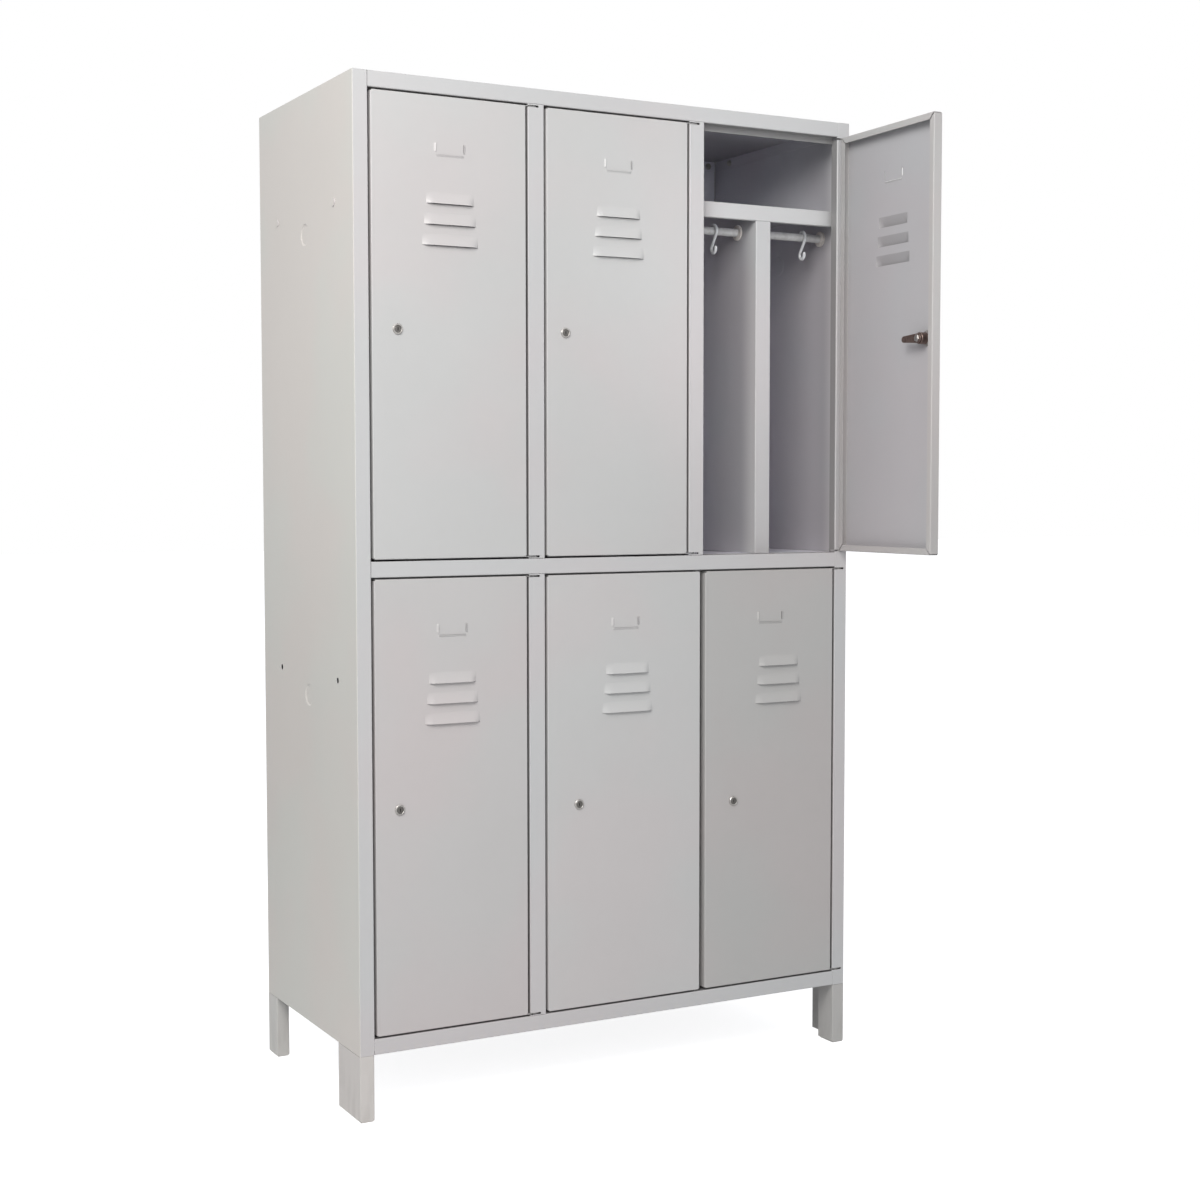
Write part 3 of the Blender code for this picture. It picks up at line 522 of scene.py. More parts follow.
# near black: painted shade in the keyway
darkRecess = moulded("darkRecess", (0.012, 0.012, 0.012), 0.6)
whitePlastic = moulded("whitePlastic", (0.86, 0.87, 0.88), 0.30)
cupPlastic = moulded("cupPlastic", (0.74, 0.69, 0.65), 0.42)

for name, node in nodes.items():
    finish = cabinetPaint
    if name.endswith("_leg"):
        # the right legs take the darker paint that stands for shade
        finish = shadedLegPaint if "_right_" in name else legPaint
    elif name.endswith("_divider"):
        finish = dividerPaint
    elif name.endswith("_hinge_bracket"):
        finish = zinc
    node.data.materials.clear()
    node.data.materials.append(finish)
print("finishes done")

# doors: the folded pan with its holes, and its louvres and card holder
def doorFrame(tier, column):
    # X to the right, Y to the back, origin on the hinge axis
    hinge = joints[f"{tier}_{column}_door_hinge"]
    aim = joints[f"{tier}_{column}_cam_turn"]["axis"]
    turn = math.atan2(-aim[0], aim[1])
    x, y, _ = hinge["pos_m"]
    return Matrix.Translation((x, y, 0)) @ Matrix.Rotation(turn, 4, "Z")


def doorPlace(tier, column):
    # the matrix, the sheet's edges and the lock's place, all read from the frame
    place = doorFrame(tier, column)
    points = [place.inverted() @ v.co for v in nodes[f"{tier}_{column}_door"].data.vertices]
    low, high = min(p.z for p in points), max(p.z for p in points)
    lock = place.inverted() @ Vector(joints[f"{tier}_{column}_cam_turn"]["pos_m"])
    front = lock.y
    skin = [p.x for p in points if abs(p.y - front) < doorPan["sheet"]]
    return {"matrix": place, "left": min(skin), "right": max(skin), "low": low, "high": high,
            "front": front, "lock": lock, "lockMatrix": place @ Matrix.Translation(lock)}


doorPan = {"sheet": 0.001, "thickness": 0.019, "bend": 0.0014, "bendSteps": 4, "lip": 0.012,
           "notch": 0.0018, "earRadius": 0.0065, "earSteps": 12, "pinHole": 0.003, "pinSteps": 24,
           "endGap": 0.0035, "lockHole": 0.0083, "lockSteps": 32, "nearly": 1e-6, "facing": 0.7}
louvre = {"count": 3, "pitch": 0.0366, "firstLength": 0.092, "longer": 0.008, "height": 0.020,
          "reach": 0.006, "end": 0.014, "slit": 0.0005, "drop": 0.192, "overlap": 0.0004,
          "slope": 1.3, "grid": (33, 9), "smooth": 50, "facing": 0.1,
          "shift": {("lower", "right"): 0.020, ("lower", "middle"): 0.004}}
cardHolder = {"width": 0.062, "height": 0.027, "drop": 0.079, "tab": 0.004, "end": 0.003,
              "pocket": 0.0022, "side": 0.017}


def hoodShapeTree(s):
    # one pressed hood: it swells out of the sheet and is open along its lower edge
    g = newTree("hoodShape")
    length, height, reach, end = g.numbers("Length", "Height", "Reach", "End")
    slope = g.takes("Slope", "Float", s["slope"])
    grid = g.add("GeometryNodeMeshGrid", {"Size X": 2.0, "Size Y": 1.0, "Vertices X": s["grid"][0],
                                      "Vertices Y": s["grid"][1]})
    spot = g.add("GeometryNodeInputPosition").outputs[0]
    x, y, _ = g.add("ShaderNodeSeparateXYZ", {"Vector": spot}).outputs
    away = g.math("ABSOLUTE", x)
    flat = g.math("MINIMUM", g.times(away, 2.0), 1.0)
    tail = g.times(g.math("MAXIMUM", g.minus(away, 0.5), 0.0), 2.0)
    along = g.times(flat, g.minus(g.times(length, 0.5), end))
    along = g.plus(along, g.times(tail, end))
    along = g.times(along, g.math("SIGN", x))
    rise = g.plus(y, 0.5)
    fall = g.math("POWER", g.minus(1.0, rise), slope)
    lift = g.times(fall, g.minus(1.0, g.math("POWER", tail, 2.0)))
    out = g.times(g.times(lift, reach), -1.0)
    swollen = g.xyz(x=along, y=out, z=g.times(rise, height))
    shaped = g.add("GeometryNodeSetPosition", {"Geometry": grid.outputs[0], "Position": swollen})
    g.gives("Geometry", "Geometry", shaped.outputs[0])
    return g.tree


def louvreRowTree(hood):
    # a row of hoods going down, each longer than the one above
    g = newTree("louvreRow")
    count = g.takes("Count", "Int")
    pitch, first, longer = g.numbers("Pitch", "First Length", "Longer")
    height, reach, end = g.numbers("Height", "Reach", "End")
    finish = g.takes("Finish", "Material")
    line = g.add("GeometryNodeMeshLine", {"Count": count, "Offset": g.xyz(z=g.times(pitch, -1.0))})
    shape = g.add("GeometryNodeGroup", {"Length": first, "Height": height, "Reach": reach, "End": end},
                  node_tree=hood)
    index = g.add("GeometryNodeInputIndex").outputs[0]
    wide = g.plus(1.0, g.math("DIVIDE", g.times(index, longer), first))
    copies = g.add("GeometryNodeInstanceOnPoints", {"Points": line.outputs[0], "Instance": shape.outputs[0],
                                                    "Scale": g.xyz(x=wide, y=1.0, z=1.0)})
    return g.ends(copies.outputs[0], finish)


def cardHolderTree(hood):
    # three lanced tabs, one below the card and one at each side
    g = newTree("cardHolder")
    width, side, tab, pocket, end = g.numbers("Width", "Side Length", "Tab", "Pocket", "End")
    finish = g.takes("Finish", "Material")
    across = g.minus(width, g.times(tab, 2.0))
    out = g.minus(g.times(width, 0.5), tab)
    up = g.plus(tab, g.times(side, 0.5))
    joined = g.add("GeometryNodeJoinGeometry")
    for length, x, z, turn in ((across, 0.0, 0.0, math.pi), (side, out, up, math.pi / 2),
                               (side, g.times(out, -1.0), up, -math.pi / 2)):
        shape = g.add("GeometryNodeGroup", {"Length": length, "Height": tab, "Reach": pocket, "End": end},
                      node_tree=hood)
        move = g.add("GeometryNodeTransform", {"Geometry": shape.outputs[0], "Translation": g.xyz(x=x, z=z),
                                               "Rotation": (0, turn, 0)})
        g.feed(joined.inputs[0], move.outputs[0])
    return g.ends(joined.outputs[0], finish)


def filletPath(points, radius, steps):
    # a 2D path whose inner corners are rounded by arcs
    out = [Vector(points[0])]
    for a, b, c in zip(points, points[1:], points[2:]):
        corner = Vector(b)
        before, after = (Vector(a) - corner).normalized(), (Vector(c) - corner).normalized()
        bend = before.angle(after) / 2
        start = before * radius / math.tan(bend)
        centre = (before + after).normalized() * radius / math.sin(bend)
        end = after * radius / math.tan(bend)
        sweep = math.pi - 2 * bend
        for k in range(steps + 1):
            t = k / steps
            arm = (start - centre) * math.sin((1 - t) * sweep) + (end - centre) * math.sin(t * sweep)
            out.append(corner + centre + arm / math.sin(sweep))
    out.append(Vector(points[-1]))
    return out


def ringPoints(radius, steps, centre=(0, 0), start=0.0, end=2 * math.pi):
    whole = end - start >= 2 * math.pi - doorPan["nearly"]
    count = steps if whole else steps + 1
    turns = [start + (end - start) * k / steps for k in range(count)]
    return [(centre[0] + radius * math.cos(a), centre[1] + radius * math.sin(a)) for a in turns]


def fillPlate(bm, loops):
    edges = []
    for loop in loops:
        for a, b in zip(loop, loop[1:] + loop[:1]):
            edges.append(bm.edges.get((a, b)) or bm.edges.new((a, b)))
    bmesh.ops.triangle_fill(bm, use_beauty=True, use_dissolve=False, edges=edges)


def bridge(bm, low, high):
    # a band of faces between two closed rows of points
    for k, corner in enumerate(low):
        bm.faces.new((low[k - 1], corner, high[k], high[k - 1]))


def tabHoles(width, middle, base):
    # card tabs: centre of the free edge, turn in the sheet, length
    side = width / 2 - cardHolder["tab"]
    up = base + cardHolder["tab"] + cardHolder["side"] / 2
    yield middle, base, math.pi, width - 2 * cardHolder["tab"]
    yield middle + side, up, -math.pi / 2, cardHolder["side"]
    yield middle - side, up, math.pi / 2, cardHolder["side"]


def doorSheet(name, d, middle, finish, hasEars, louvreCentre):
    # the folded pan with its holes, drawn at mid thickness and thickened after
    s = doorPan
    half = s["sheet"] / 2
    left, low = d["left"] + half, d["low"] + half
    w, h = d["right"] - d["left"] - s["sheet"], d["high"] - d["low"] - s["sheet"]
    front, depth = d["front"] + half, s["thickness"] - s["sheet"]
    bm = bmesh.new()

    def spot(side, along, inwards, deep=0.0):
        u, v = {"bottom": (along, inwards), "right": (w - inwards, along),
                "top": (w - along, h - inwards), "left": (inwards, h - along)}[side]
        return bm.verts.new((left + u, front + deep, low + v))

    path = [(2 * s["bend"], 0), (0, 0), (0, depth), (s["lip"], depth)]
    path = filletPath(path, s["bend"], s["bendSteps"])[1:]
    flat = [i for i, p in enumerate(path) if abs(p[0]) < s["nearly"]]
    outline = []
    for side in ("bottom", "right", "top", "left"):
        length = w if side in ("bottom", "top") else h
        outline.append(spot(side, s["notch"], s["notch"]))
        rows = []
        for inwards, deep in path:
            step = inwards if deep > depth / 2 else 0.0
            rows.append([spot(side, end, inwards, deep)
                         for end in (s["notch"] + step, length - s["notch"] - step)])
        for (a, b), (c, e) in zip(rows, rows[1:]):
            bm.faces.new((a, b, e, c))
        outline.extend(rows[0])
        if hasEars and side in ("bottom", "top"):
            # the pivot ear at the hinge end of this flange
            atEnd = side == "bottom"
            axisDeep = -front
            sign = 1 if atEnd else -1
            reach = -left if atEnd else w + left
            arc = ringPoints(s["earRadius"], s["earSteps"], start=-math.pi / 2, end=math.pi / 2)
            tip = [spot(side, reach + sign * p, 0.0, axisDeep + q) for p, q in arc]
            tip.append(spot(side, length if atEnd else 0.0, 0.0, axisDeep + s["earRadius"]))
            which = 1 if atEnd else 0
            hole = [spot(side, reach + p, 0.0, axisDeep + q)
                    for p, q in ringPoints(s["pinHole"], s["pinSteps"])]
            fillPlate(bm, [[rows[flat[0]][which], *tip, rows[flat[-1]][which]], hole])

    def faceLoop(points):
        return [bm.verts.new((x, front, z)) for x, z in points]

    holes = []
    ceiling = d["high"] + s["endGap"]
    for k in range(louvre["count"]):
        length = louvre["firstLength"] + k * louvre["longer"]
        z = ceiling - louvre["drop"] - k * louvre["pitch"]
        x0, x1 = (louvreCentre + side * (length / 2 - louvre["overlap"]) for side in (-1, 1))
        z0, z1 = z - louvre["slit"], z + louvre["height"] - louvre["overlap"]
        holes.append(faceLoop([(x0, z0), (x1, z0), (x1, z1), (x0, z1)]))
    base = ceiling - cardHolder["drop"] - cardHolder["height"]
    for x, z, turn, length in tabHoles(cardHolder["width"], middle, base):
        wide, tall = length / 2 - louvre["overlap"], cardHolder["tab"] - louvre["overlap"]
        corners = [(-wide, -louvre["slit"]), (wide, -louvre["slit"]), (wide, tall), (-wide, tall)]
        holes.append(faceLoop([(x + a * math.cos(turn) - b * math.sin(turn),
                                z + a * math.sin(turn) + b * math.cos(turn)) for a, b in corners]))
    holes.append(faceLoop(ringPoints(s["lockHole"], s["lockSteps"], (d["lock"].x, d["lock"].z))))
    fillPlate(bm, [outline, *holes])
    bmesh.ops.recalc_face_normals(bm, faces=bm.faces)
    obj = meshObject(name, bm, finish, doorInnerShadePaint)
    thicken(obj, s["sheet"], offset=0.0, use_even_offset=True)
    bake(obj)
    # the back faces of the sheet take the darker paint that stands for shade on the door's inner face
    for face in obj.data.polygons:
        deepFace = face.normal.y > s["facing"] and abs(face.center.y - front - half) < s["sheet"]
        face.material_index = 1 if deepFace else 0
    return bake(obj, d["matrix"])


def pressings(name, d, middle, finish, louvreCentre):
    # the louvres and the card tabs of one door
    ceiling = d["high"] + doorPan["endGap"]
    deep = d["front"] + doorPan["sheet"] / 2
    base = ceiling - cardHolder["drop"] - cardHolder["height"]
    jobs = [(louvreRow, Vector((louvreCentre, deep, ceiling - louvre["drop"])),
             {"Count": louvre["count"], "Pitch": louvre["pitch"], "First Length": louvre["firstLength"],
              "Longer": louvre["longer"], "Height": louvre["height"], "Reach": louvre["reach"],
              "End": louvre["end"], "Finish": finish}),
            (cardTabs, Vector((middle, deep, base)),
             {"Width": cardHolder["width"], "Side Length": cardHolder["side"], "Tab": cardHolder["tab"],
              "Pocket": cardHolder["pocket"], "End": cardHolder["end"], "Finish": finish})]
    made = []
    for tree, spot, values in jobs:
        obj = newObject(name, bpy.data.meshes.new(name))
        dress(obj, tree, values)
        thicken(obj, doorPan["sheet"], offset=0.0)
        bake(obj, smoothDegrees=louvre["smooth"], weighted=False)
        obj.data.materials.clear()
        # the hoods' inner faces take the darker paint that stands for their shade
        for coat in (finish, hoodInnerShadePaint):
            obj.data.materials.append(coat)
        for face in obj.data.polygons:
            face.material_index = 1 if face.normal.y > louvre["facing"] else 0
        obj.data.transform(d["matrix"] @ Matrix.Translation(spot))
        made.append(obj)
    return join(name, made)


hoodShape = hoodShapeTree(louvre)
louvreRow = louvreRowTree(hoodShape)
cardTabs = cardHolderTree(hoodShape)
places = {spot: doorPlace(*spot) for spot in compartments}

for (tier, column), d in places.items():
    label = f"{tier}_{column}"
    finish = warmDoorPaint if (tier, column) == ("lower", "left") else doorPaint
    # the right column's doors take the darker paint that stands for shade
    finish = shadedDoorPaint if column == "right" else finish
    middle = (d["left"] + d["right"]) / 2
    centre = middle + louvre["shift"].get((tier, column), 0)
    overlaid = (tier, column) == ("lower", "middle")
    sheet = doorSheet(label + "_door_sheet", d, middle, finish, not overlaid, centre)
    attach(sheet, "door_" + label)
    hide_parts(label + "_door")
    press = pressings(label + "_louvres", d, middle, finish, centre)
    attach(press, "door_" + label)
print("doors done")

# plates that close the stiles' tops, in the notches of the top panel
stileCap = {"sheet": 0.001, "across": (0.0011, 0.0269), "deep": (0.0011, 0.0250), "below": 0.0001,
            "corner": 0.0014, "cornerSteps": 5, "edge": 0.0003, "edgeSteps": 2}


def stileCaps(s):
    (outer, inner), (front, rear) = s["across"], s["deep"]
    middle = (outer + inner) / 2
    corners = [(middle, front), (inner, front), (inner, rear), (outer, rear), (outer, front), (middle, front)]
    loop = filletPath(corners, s["corner"], s["cornerSteps"])[:-1]
    high = cadFrame[1].z - s["below"]
    made = []
    for side in (-1, 1):
        bm = bmesh.new()
        plate = bm.faces.new([bm.verts.new((side * (cadFrame[1].x - x), cadFrame[0].y + y, high))
                              for x, y in loop])
        plate.normal_update()
        if plate.normal.z < 0:
            plate.normal_flip()
        obj = meshObject("stile_cap", bm, cabinetPaint)
        thicken(obj, s["sheet"])
        rim = obj.modifiers.new("rim", "BEVEL")
        rim.width = s["edge"]
        rim.segments = s["edgeSteps"]
        made.append(bake(obj, weighted=False))
    caps = join("stile_caps", made)
    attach(caps, "frame")


stileCaps(stileCap)
print("stile caps done")

# locks: a plated ring and threaded barrel in the door, and the turning plug with its cam
lockSet = {"ringRadius": 0.0095, "ringOut": 0.0027, "chamfer": 0.0009, "ringEdge": 0.0003, "bore": 0.0066,
           "boreEdge": 0.0004, "seat": 0.0001, "barrel": 0.0078, "pitch": 0.0014, "threadDeep": 0.0005,
           "threadEnd": 0.0006, "sheetBack": 0.0013, "washer": 0.0008, "washerOut": 0.0005,
           "nutRadius": 0.0145, "nutHigh": 0.005, "nutEdge": 0.0006, "collar": 0.011, "collarStep": 0.0004,
           "collarEdge": 0.0008, "collarIn": 0.001, "steps": 40, "gap": 0.001}
camSet = {"plug": 0.0062, "plugIn": 0.0005, "plugEdge": (0.0004, 0.0003), "plugSteps": 32, "keyLong": 0.0062,
          "keyWide": 0.0016, "keyDeep": 0.0025, "keySteps": 6, "thick": 0.0024, "hub": 0.009, "tip": 0.006,
          "edge": 0.0004, "play": 0.0002, "nutRadius": 0.0070, "nutHigh": 0.0033, "nutEdge": 0.0005,
          "nutTurn": 0.3, "stud": 0.0028, "studEdge": 0.0004, "studSteps": 24, "steps": 12}


def lathe(bm, profile, steps, slot=0):
    # a closed solid of revolution about Y from (radius, along) pairs
    rings = []
    for radius, along in profile:
        points = ringPoints(radius, steps) if radius else [(0, 0)]
        rings.append([bm.verts.new((p, along, q)) for p, q in points])
    pairs = list(zip(rings, rings[1:]))
    if profile[0][0]:
        pairs.append((rings[-1], rings[0]))
    faces = []
    for low, high in pairs:
        for k in range(steps):
            corners = [low[k % len(low)], low[(k + 1) % len(low)]]
            corners += [high[(k + 1) % len(high)], high[k % len(high)]]
            faces.append(bm.faces.new(list(dict.fromkeys(corners))))
    bmesh.ops.recalc_face_normals(bm, faces=faces)
    for face in faces:
        face.material_index = slot


def prism(bm, outline, levels, bevel, slot=0):
    # a plate between two places along Y, its rims eased by a small bevel
    start = set(bm.faces)
    rows = [(levels[0], bevel), (levels[0] + bevel, 0), (levels[1] - bevel, 0), (levels[1], bevel)]
    middle = Vector((sum(p for p, q in outline), sum(q for p, q in outline))) / len(outline)
    rings = []
    for along, inset in rows:
        ring = []
        for p, q in outline:
            out = Vector((p, q)) - middle
            spot = middle + out * (1 - inset / out.length)
            ring.append(bm.verts.new((spot.x, along, spot.y)))
        rings.append(ring)
    for low, high in zip(rings, rings[1:]):
        bridge(bm, low, high)
    bm.faces.new(rings[0])
    bm.faces.new(rings[-1])
    faces = [face for face in bm.faces if face not in start]
    bmesh.ops.recalc_face_normals(bm, faces=faces)
    for face in faces:
        face.material_index = slot


def hexagon(radius, turn=0.0):
    return ringPoints(radius, 6, start=turn, end=turn + 2 * math.pi)


def lockBody(name, d, bodyEnd):
    s = lockSet
    bm = bmesh.new()
    bore, out, barrel, edge = s["bore"], -s["ringOut"], s["barrel"], s["ringRadius"]
    ring = [(bore, out + s["ringEdge"]), (bore + s["boreEdge"], out), (edge - s["chamfer"], out),
            (edge, out + s["chamfer"]), (edge, -s["seat"]), (bore, -s["seat"])]
    lathe(bm, ring, s["steps"])
    thread = [(bore, -s["seat"])]
    threadEnd = bodyEnd - s["gap"]
    for k in range(int(threadEnd / s["pitch"])):
        along = k * s["pitch"]
        thread += [(barrel, along), (barrel - s["threadDeep"], along + s["pitch"] / 2)]
    thread += [(barrel, threadEnd), (barrel - s["threadEnd"], bodyEnd), (bore, bodyEnd)]
    lathe(bm, thread, s["steps"])
    washerEnd, nutEnd = s["sheetBack"] + s["washer"], s["sheetBack"] + s["nutHigh"]
    prism(bm, hexagon(s["nutRadius"], math.pi / 6), (washerEnd, nutEnd), s["nutEdge"])
    wide = s["nutRadius"] + s["washerOut"]
    lathe(bm, [(barrel, s["sheetBack"]), (wide, s["sheetBack"]), (wide, washerEnd), (barrel, washerEnd)],
          s["steps"])
    wide, edge = s["collar"], s["collarEdge"]
    collar = [(barrel, nutEnd), (wide, nutEnd + s["collarStep"]), (wide, bodyEnd - edge),
              (wide - edge, bodyEnd), (barrel - s["collarIn"], bodyEnd)]
    lathe(bm, collar, s["steps"], slot=1)
    obj = meshObject(name, bm, nickel, brownSteel)
    return bake(obj, d["lockMatrix"])


def camPiece(name, d, start, reach):
    s = camSet
    bm = bmesh.new()
    front = -lockSet["ringOut"] + s["plugIn"]
    keyEnd = s["keyLong"] / 2 - s["keyWide"] / 2
    keyhole = [(side * p, side * (q + keyEnd)) for side in (1, -1)
               for p, q in ringPoints(s["keyWide"] / 2, s["keySteps"], start=0, end=math.pi)]

    def row(points, along):
        return [bm.verts.new((p, along, q)) for p, q in points]

    rim = row(ringPoints(s["plug"], s["plugSteps"]), front + s["plugEdge"][1])
    edge = row(ringPoints(s["plug"] - s["plugEdge"][0], s["plugSteps"]), front)
    key, deep = row(keyhole, front), row(keyhole, front + s["keyDeep"])
    back = row(ringPoints(s["plug"], s["plugSteps"]), start + s["play"])
    fillPlate(bm, [edge, key])
    for low, high in ((rim, edge), (key, deep), (back, rim)):
        bridge(bm, low, high)
    bm.faces.new(deep)
    bm.faces.new(back)
    bmesh.ops.recalc_face_normals(bm, faces=bm.faces)
    # the keyway's walls and floor are near black: painted shade
    inner = set(deep)
    for face in bm.faces:
        if any(v in inner for v in face.verts):
            face.material_index = 2
    far = reach - s["tip"]
    lean = math.asin((s["hub"] - s["tip"]) / far)
    outline = ringPoints(s["tip"], s["steps"], (far, 0), -(math.pi / 2 - lean), math.pi / 2 - lean)
    outline += ringPoints(s["hub"], s["steps"], (0, 0), math.pi / 2 - lean, 1.5 * math.pi + lean)
    prism(bm, outline, (start, start + s["thick"]), s["edge"], slot=1)
    top = start + s["thick"]
    nut = hexagon(s["nutRadius"], s["nutTurn"])
    prism(bm, nut, (top + s["play"], top + s["nutHigh"]), s["nutEdge"], slot=3)
    high = top + s["nutHigh"] + s["play"]
    lathe(bm, [(0, top), (s["stud"], top), (s["stud"], high - s["studEdge"]),
               (s["stud"] - s["studEdge"], high), (0, high)], s["studSteps"], slot=3)
    obj = meshObject(name, bm, plugSteel, brownSteel, darkRecess, nickel)
    return bake(obj, d["lockMatrix"])


for (tier, column), d in places.items():
    label = f"{tier}_{column}"
    inverse = d["lockMatrix"].inverted()
    bodyEnd = max((inverse @ v.co).y for v in nodes[label + "_lock"].data.vertices)
    reach = max((inverse @ v.co).x for v in nodes[label + "_lock_cam"].data.vertices)
    body = lockBody(label + "_lock_barrel", d, bodyEnd)
    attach(body, "door_" + label)
    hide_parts(label + "_lock")
    cam = camPiece(label + "_cam", d, bodyEnd + lockSet["gap"], reach)
    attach(cam, "cam_" + label)
    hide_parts(label + "_lock_cam")
print("locks done")

# hanging rods with their cups, over the plain ones of the dividers
rodSet = {"radius": 0.0077, "cup": 0.0153, "cupHigh": 0.0042, "cupLip": 0.0012, "cupWall": 0.0012,
          "lipRound": 0.3, "collar": 0.4, "bite": 0.0005, "seat": 0.0001, "faceWide": 0.034, "sheet": 0.001,
          "frontDepth": 0.095, "sides": 32, "wide": 1.05, "wallGap": 0.0013, "partitionGap": 0.0003,
          "openings": ((0.028, 0.338), (0.370, 0.680), (0.712, 1.022))}


def placedShapesTree():
    # copies a shape to every point, turned so that its Y axis follows the point's aim
    g = newTree("placedShapes")
    points = g.takes("Points", "Geometry")
    shape = g.takes("Shape", "Object")
    finish = g.takes("Finish", "Material")
    aim = g.add("GeometryNodeInputNamedAttribute", {"Name": "aim"}, data_type="FLOAT_VECTOR").outputs[0]
    turn = g.add("FunctionNodeAlignRotationToVector", {"Vector": aim}, axis="Y").outputs[0]
    source = g.add("GeometryNodeObjectInfo", {"Object": shape}).outputs["Geometry"]
    copies = g.add("GeometryNodeInstanceOnPoints", {"Points": points, "Instance": source, "Rotation": turn})
    return g.ends(copies.outputs[0], finish)


placedShapes = placedShapesTree()


def placeCopies(name, shape, finish, spots):
    # spots are (place, aim) pairs
    obj = pointObject(name, [place for place, aim in spots], "aim", "FLOAT_VECTOR",
                      [aim for place, aim in spots])
    dress(obj, placedShapes, {"Shape": shape, "Finish": finish})
    bake(obj)
    bpy.data.objects.remove(shape)
    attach(obj, "frame")


def rodTubeTree():
    # a bright tube from each point, as long as the point's span
    g = newTree("rodTubes")
    points = g.takes("Points", "Geometry")
    radius = g.takes("Radius", "Float")
    sides = g.takes("Sides", "Int")
    finish = g.takes("Finish", "Material")
    span = g.add("GeometryNodeInputNamedAttribute", {"Name": "span"}, data_type="FLOAT").outputs[0]
    tube = g.add("GeometryNodeMeshCylinder", {"Vertices": sides, "Radius": radius, "Depth": 1.0})
    lying = g.add("GeometryNodeTransform", {"Geometry": tube.outputs[0], "Translation": (0.5, 0, 0),
                                            "Rotation": (0, math.pi / 2, 0)})
    copies = g.add("GeometryNodeInstanceOnPoints", {"Points": points, "Instance": lying.outputs[0],
                                                    "Scale": g.xyz(x=span, y=1.0, z=1.0)})
    return g.ends(copies.outputs[0], finish)


def hangingRods(s):
    leftX, frontY = cadFrame[0].x, cadFrame[0].y
    tubes, cups = [], []
    for tier in tiers:
        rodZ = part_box(f"{tier}_left_clean_hook")[1].z - hookSet["above"]
        for i, (low, high) in enumerate(s["openings"]):
            web = (low + high - s["faceWide"]) / 2
            wallLeft = s["wallGap"] if i == 0 else s["openings"][i - 1][1] + s["wallGap"]
            wallRight = high - s["partitionGap"] if i < 2 else s["wide"] - s["wallGap"]
            y = frontY + s["frontDepth"]
            for a, b in ((wallLeft, web), (web + s["sheet"], wallRight)):
                tubes.append(((leftX + a, y, rodZ), b - a))
                cups.append(((leftX + a, y, rodZ), (1, 0, 0)))
                cups.append(((leftX + b, y, rodZ), (-1, 0, 0)))
    rods = pointObject("hanging_rods", [place for place, span in tubes], "span", "FLOAT",
                       [span for place, span in tubes])
    dress(rods, rodTubeTree(), {"Radius": s["radius"], "Sides": s["sides"], "Finish": tubeCoat})
    bake(rods)
    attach(rods, "frame")
    bm = bmesh.new()
    lip, tall, cup, bore = s["cupLip"], s["cupHigh"], s["cup"], s["radius"] - s["bite"]
    inner, rim, collar = s["radius"] + s["cupWall"], lip * s["lipRound"], tall + lip * s["collar"]
    lathe(bm, [(bore, -s["seat"]), (cup, -s["seat"]), (cup, tall - lip), (cup - rim, tall - rim),
               (cup - lip, tall), (inner + lip, tall), (inner, collar), (bore, collar)], s["sides"])
    shape = meshObject("cupShape", bm, cupPlastic)
    placeCopies("rod_cups", shape, cupPlastic, cups)


# hooks: an S of moulded wire with ball ends, each on its own body
hookSet = {"wire": 0.0033, "narrow": 0.86, "plainWire": 0.0024, "tall": 0.060, "rod": 0.0075,
           "gap": 0.0003, "swing": 0.008, "upperStart": -20, "lowerEnd": -195, "steps": 28, "sides": 14,
           "tipBall": 1.0, "ballRings": 8, "smooth": 60}
hookSet["above"] = hookSet["rod"] + hookSet["gap"] + 2 * hookSet["plainWire"]


def wirePathTree():
    # sweeps a round wire along the mesh line and closes both ends with balls
    g = newTree("wirePath")
    line = g.takes("Line", "Geometry")
    radius, ball, narrow = g.numbers("Radius", "Ball", "Narrow")
    sides, rings = g.takes("Sides", "Int"), g.takes("Ball Rings", "Int")
    finish = g.takes("Finish", "Material")
    curve = g.add("GeometryNodeMeshToCurve", {"Mesh": line}).outputs[0]
    ring = g.add("GeometryNodeCurvePrimitiveCircle", {"Resolution": sides, "Radius": radius}).outputs[0]
    flat = g.xyz(x=narrow, y=1.0, z=1.0)
    oval = g.add("GeometryNodeTransform", {"Geometry": ring, "Scale": flat}).outputs[0]
    tube = g.add("GeometryNodeCurveToMesh", {"Curve": curve, "Profile Curve": oval, "Fill Caps": True})
    ends = g.add("GeometryNodeCurveEndpointSelection").outputs[0]
    size = g.times(radius, ball)
    knob = g.add("GeometryNodeMeshUVSphere", {"Segments": sides, "Rings": rings, "Radius": size}).outputs[0]
    knob = g.add("GeometryNodeTransform", {"Geometry": knob, "Scale": flat}).outputs[0]
    copies = g.add("GeometryNodeInstanceOnPoints", {"Points": curve, "Selection": ends, "Instance": knob})
    joined = g.add("GeometryNodeJoinGeometry")
    for part in (tube.outputs[0], copies.outputs[0]):
        g.feed(joined.inputs[0], part)
    return g.ends(joined.outputs[0], finish)


wirePath = wirePathTree()


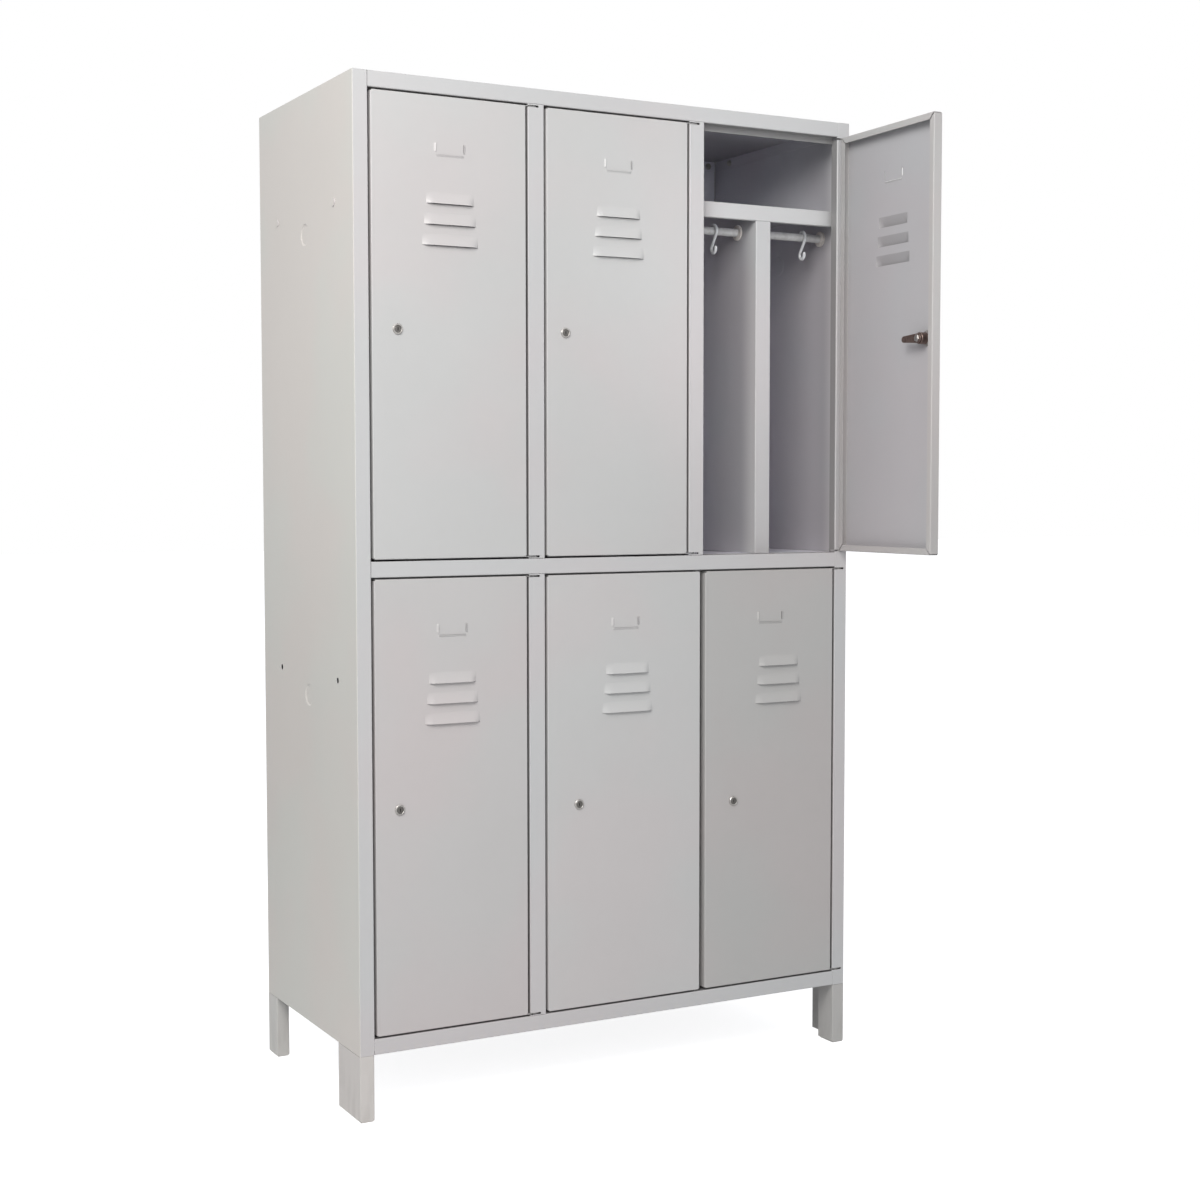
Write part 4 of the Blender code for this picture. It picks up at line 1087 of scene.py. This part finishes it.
def hookPiece(node, body):
    s = hookSet
    x, y = joints[node + "_slide"]["pos_m"][0], cadFrame[0].y + rodSet["frontDepth"]
    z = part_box(node)[1].z - s["above"]
    upper = s["rod"] + s["gap"] + s["wire"]
    drop = s["tall"] - upper - s["swing"] - 2 * s["wire"]
    lean = math.asin((upper + s["swing"]) / drop)
    path = ringPoints(upper, s["steps"], start=math.radians(s["upperStart"]), end=math.pi + lean)
    turns = [lean + (math.radians(s["lowerEnd"]) - lean) * k / s["steps"] for k in range(s["steps"] + 1)]
    path += [(s["swing"] * math.cos(a), -drop + s["swing"] * math.sin(a)) for a in turns]
    mesh = bpy.data.meshes.new(node + "_wire")
    mesh.from_pydata([(x, y + p, z + q) for p, q in path], [(k - 1, k) for k in range(1, len(path))], [])
    obj = newObject(node + "_wire", mesh)
    dress(obj, wirePath, {"Radius": s["wire"], "Narrow": s["narrow"], "Sides": s["sides"],
                          "Ball": s["tipBall"], "Ball Rings": s["ballRings"], "Finish": whitePlastic})
    bake(obj, smoothDegrees=s["smooth"])
    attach(obj, body)
    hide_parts(node)


for tier, column in compartments:
    for use in ("clean", "dirty"):
        hookPiece(f"{tier}_{column}_{use}_hook", f"hook_{tier}_{column}_{use}")
hangingRods(rodSet)
print("rods and hooks done")

# flange nuts on the trays, over the plain ones
nutSet = {"drop": 0.012, "edge": 0.060, "corner": 0.020, "sheet": 0.001, "flange": 0.0068,
          "flangeHigh": 0.0012, "flangeRim": 0.5, "flangeTop": 1.4, "hexFoot": 0.95, "hex": 0.0060,
          "high": 0.0042, "stud": 0.0029, "studOut": 0.0058, "eased": 0.0005, "steps": 28, "studSteps": 20}


def trayNuts(s):
    spots = []
    for tray in ("top_panel", "middle_shelf", "bottom_panel"):
        low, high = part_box(tray)
        z = high.z - s["drop"]
        rear = high.y - s["sheet"]
        for y in (low.y + s["edge"], high.y - s["edge"]):
            spots.append(((low.x + s["sheet"], y, z), (1, 0, 0)))
            spots.append(((high.x - s["sheet"], y, z), (-1, 0, 0)))
        for a, b in rodSet["openings"]:
            spots.append(((cadFrame[0].x + (a + b) / 2, rear, z), (0, -1, 0)))
        for x in (low.x + s["corner"], high.x - s["corner"]):
            spots.append(((x, rear, z), (0, -1, 0)))
    bm = bmesh.new()
    foot, eased = s["flangeHigh"] * s["flangeTop"], s["eased"]
    lathe(bm, [(0, 0), (s["flange"], 0), (s["flange"], s["flangeHigh"] * s["flangeRim"]),
               (s["hex"] * s["hexFoot"], foot), (0, foot)], s["steps"])
    prism(bm, hexagon(s["hex"]), (s["flangeHigh"], s["high"]), eased)
    low = s["high"] - eased
    lathe(bm, [(0, low), (s["stud"], low), (s["stud"], s["studOut"] - eased),
               (s["stud"] - eased, s["studOut"]), (0, s["studOut"])], s["studSteps"])
    placeCopies("tray_nuts", meshObject("nutShape", bm, zinc), zinc, spots)


trayNuts(nutSet)
print("fasteners done")

view = bpy.context.scene.view_settings
view.view_transform = "Standard"
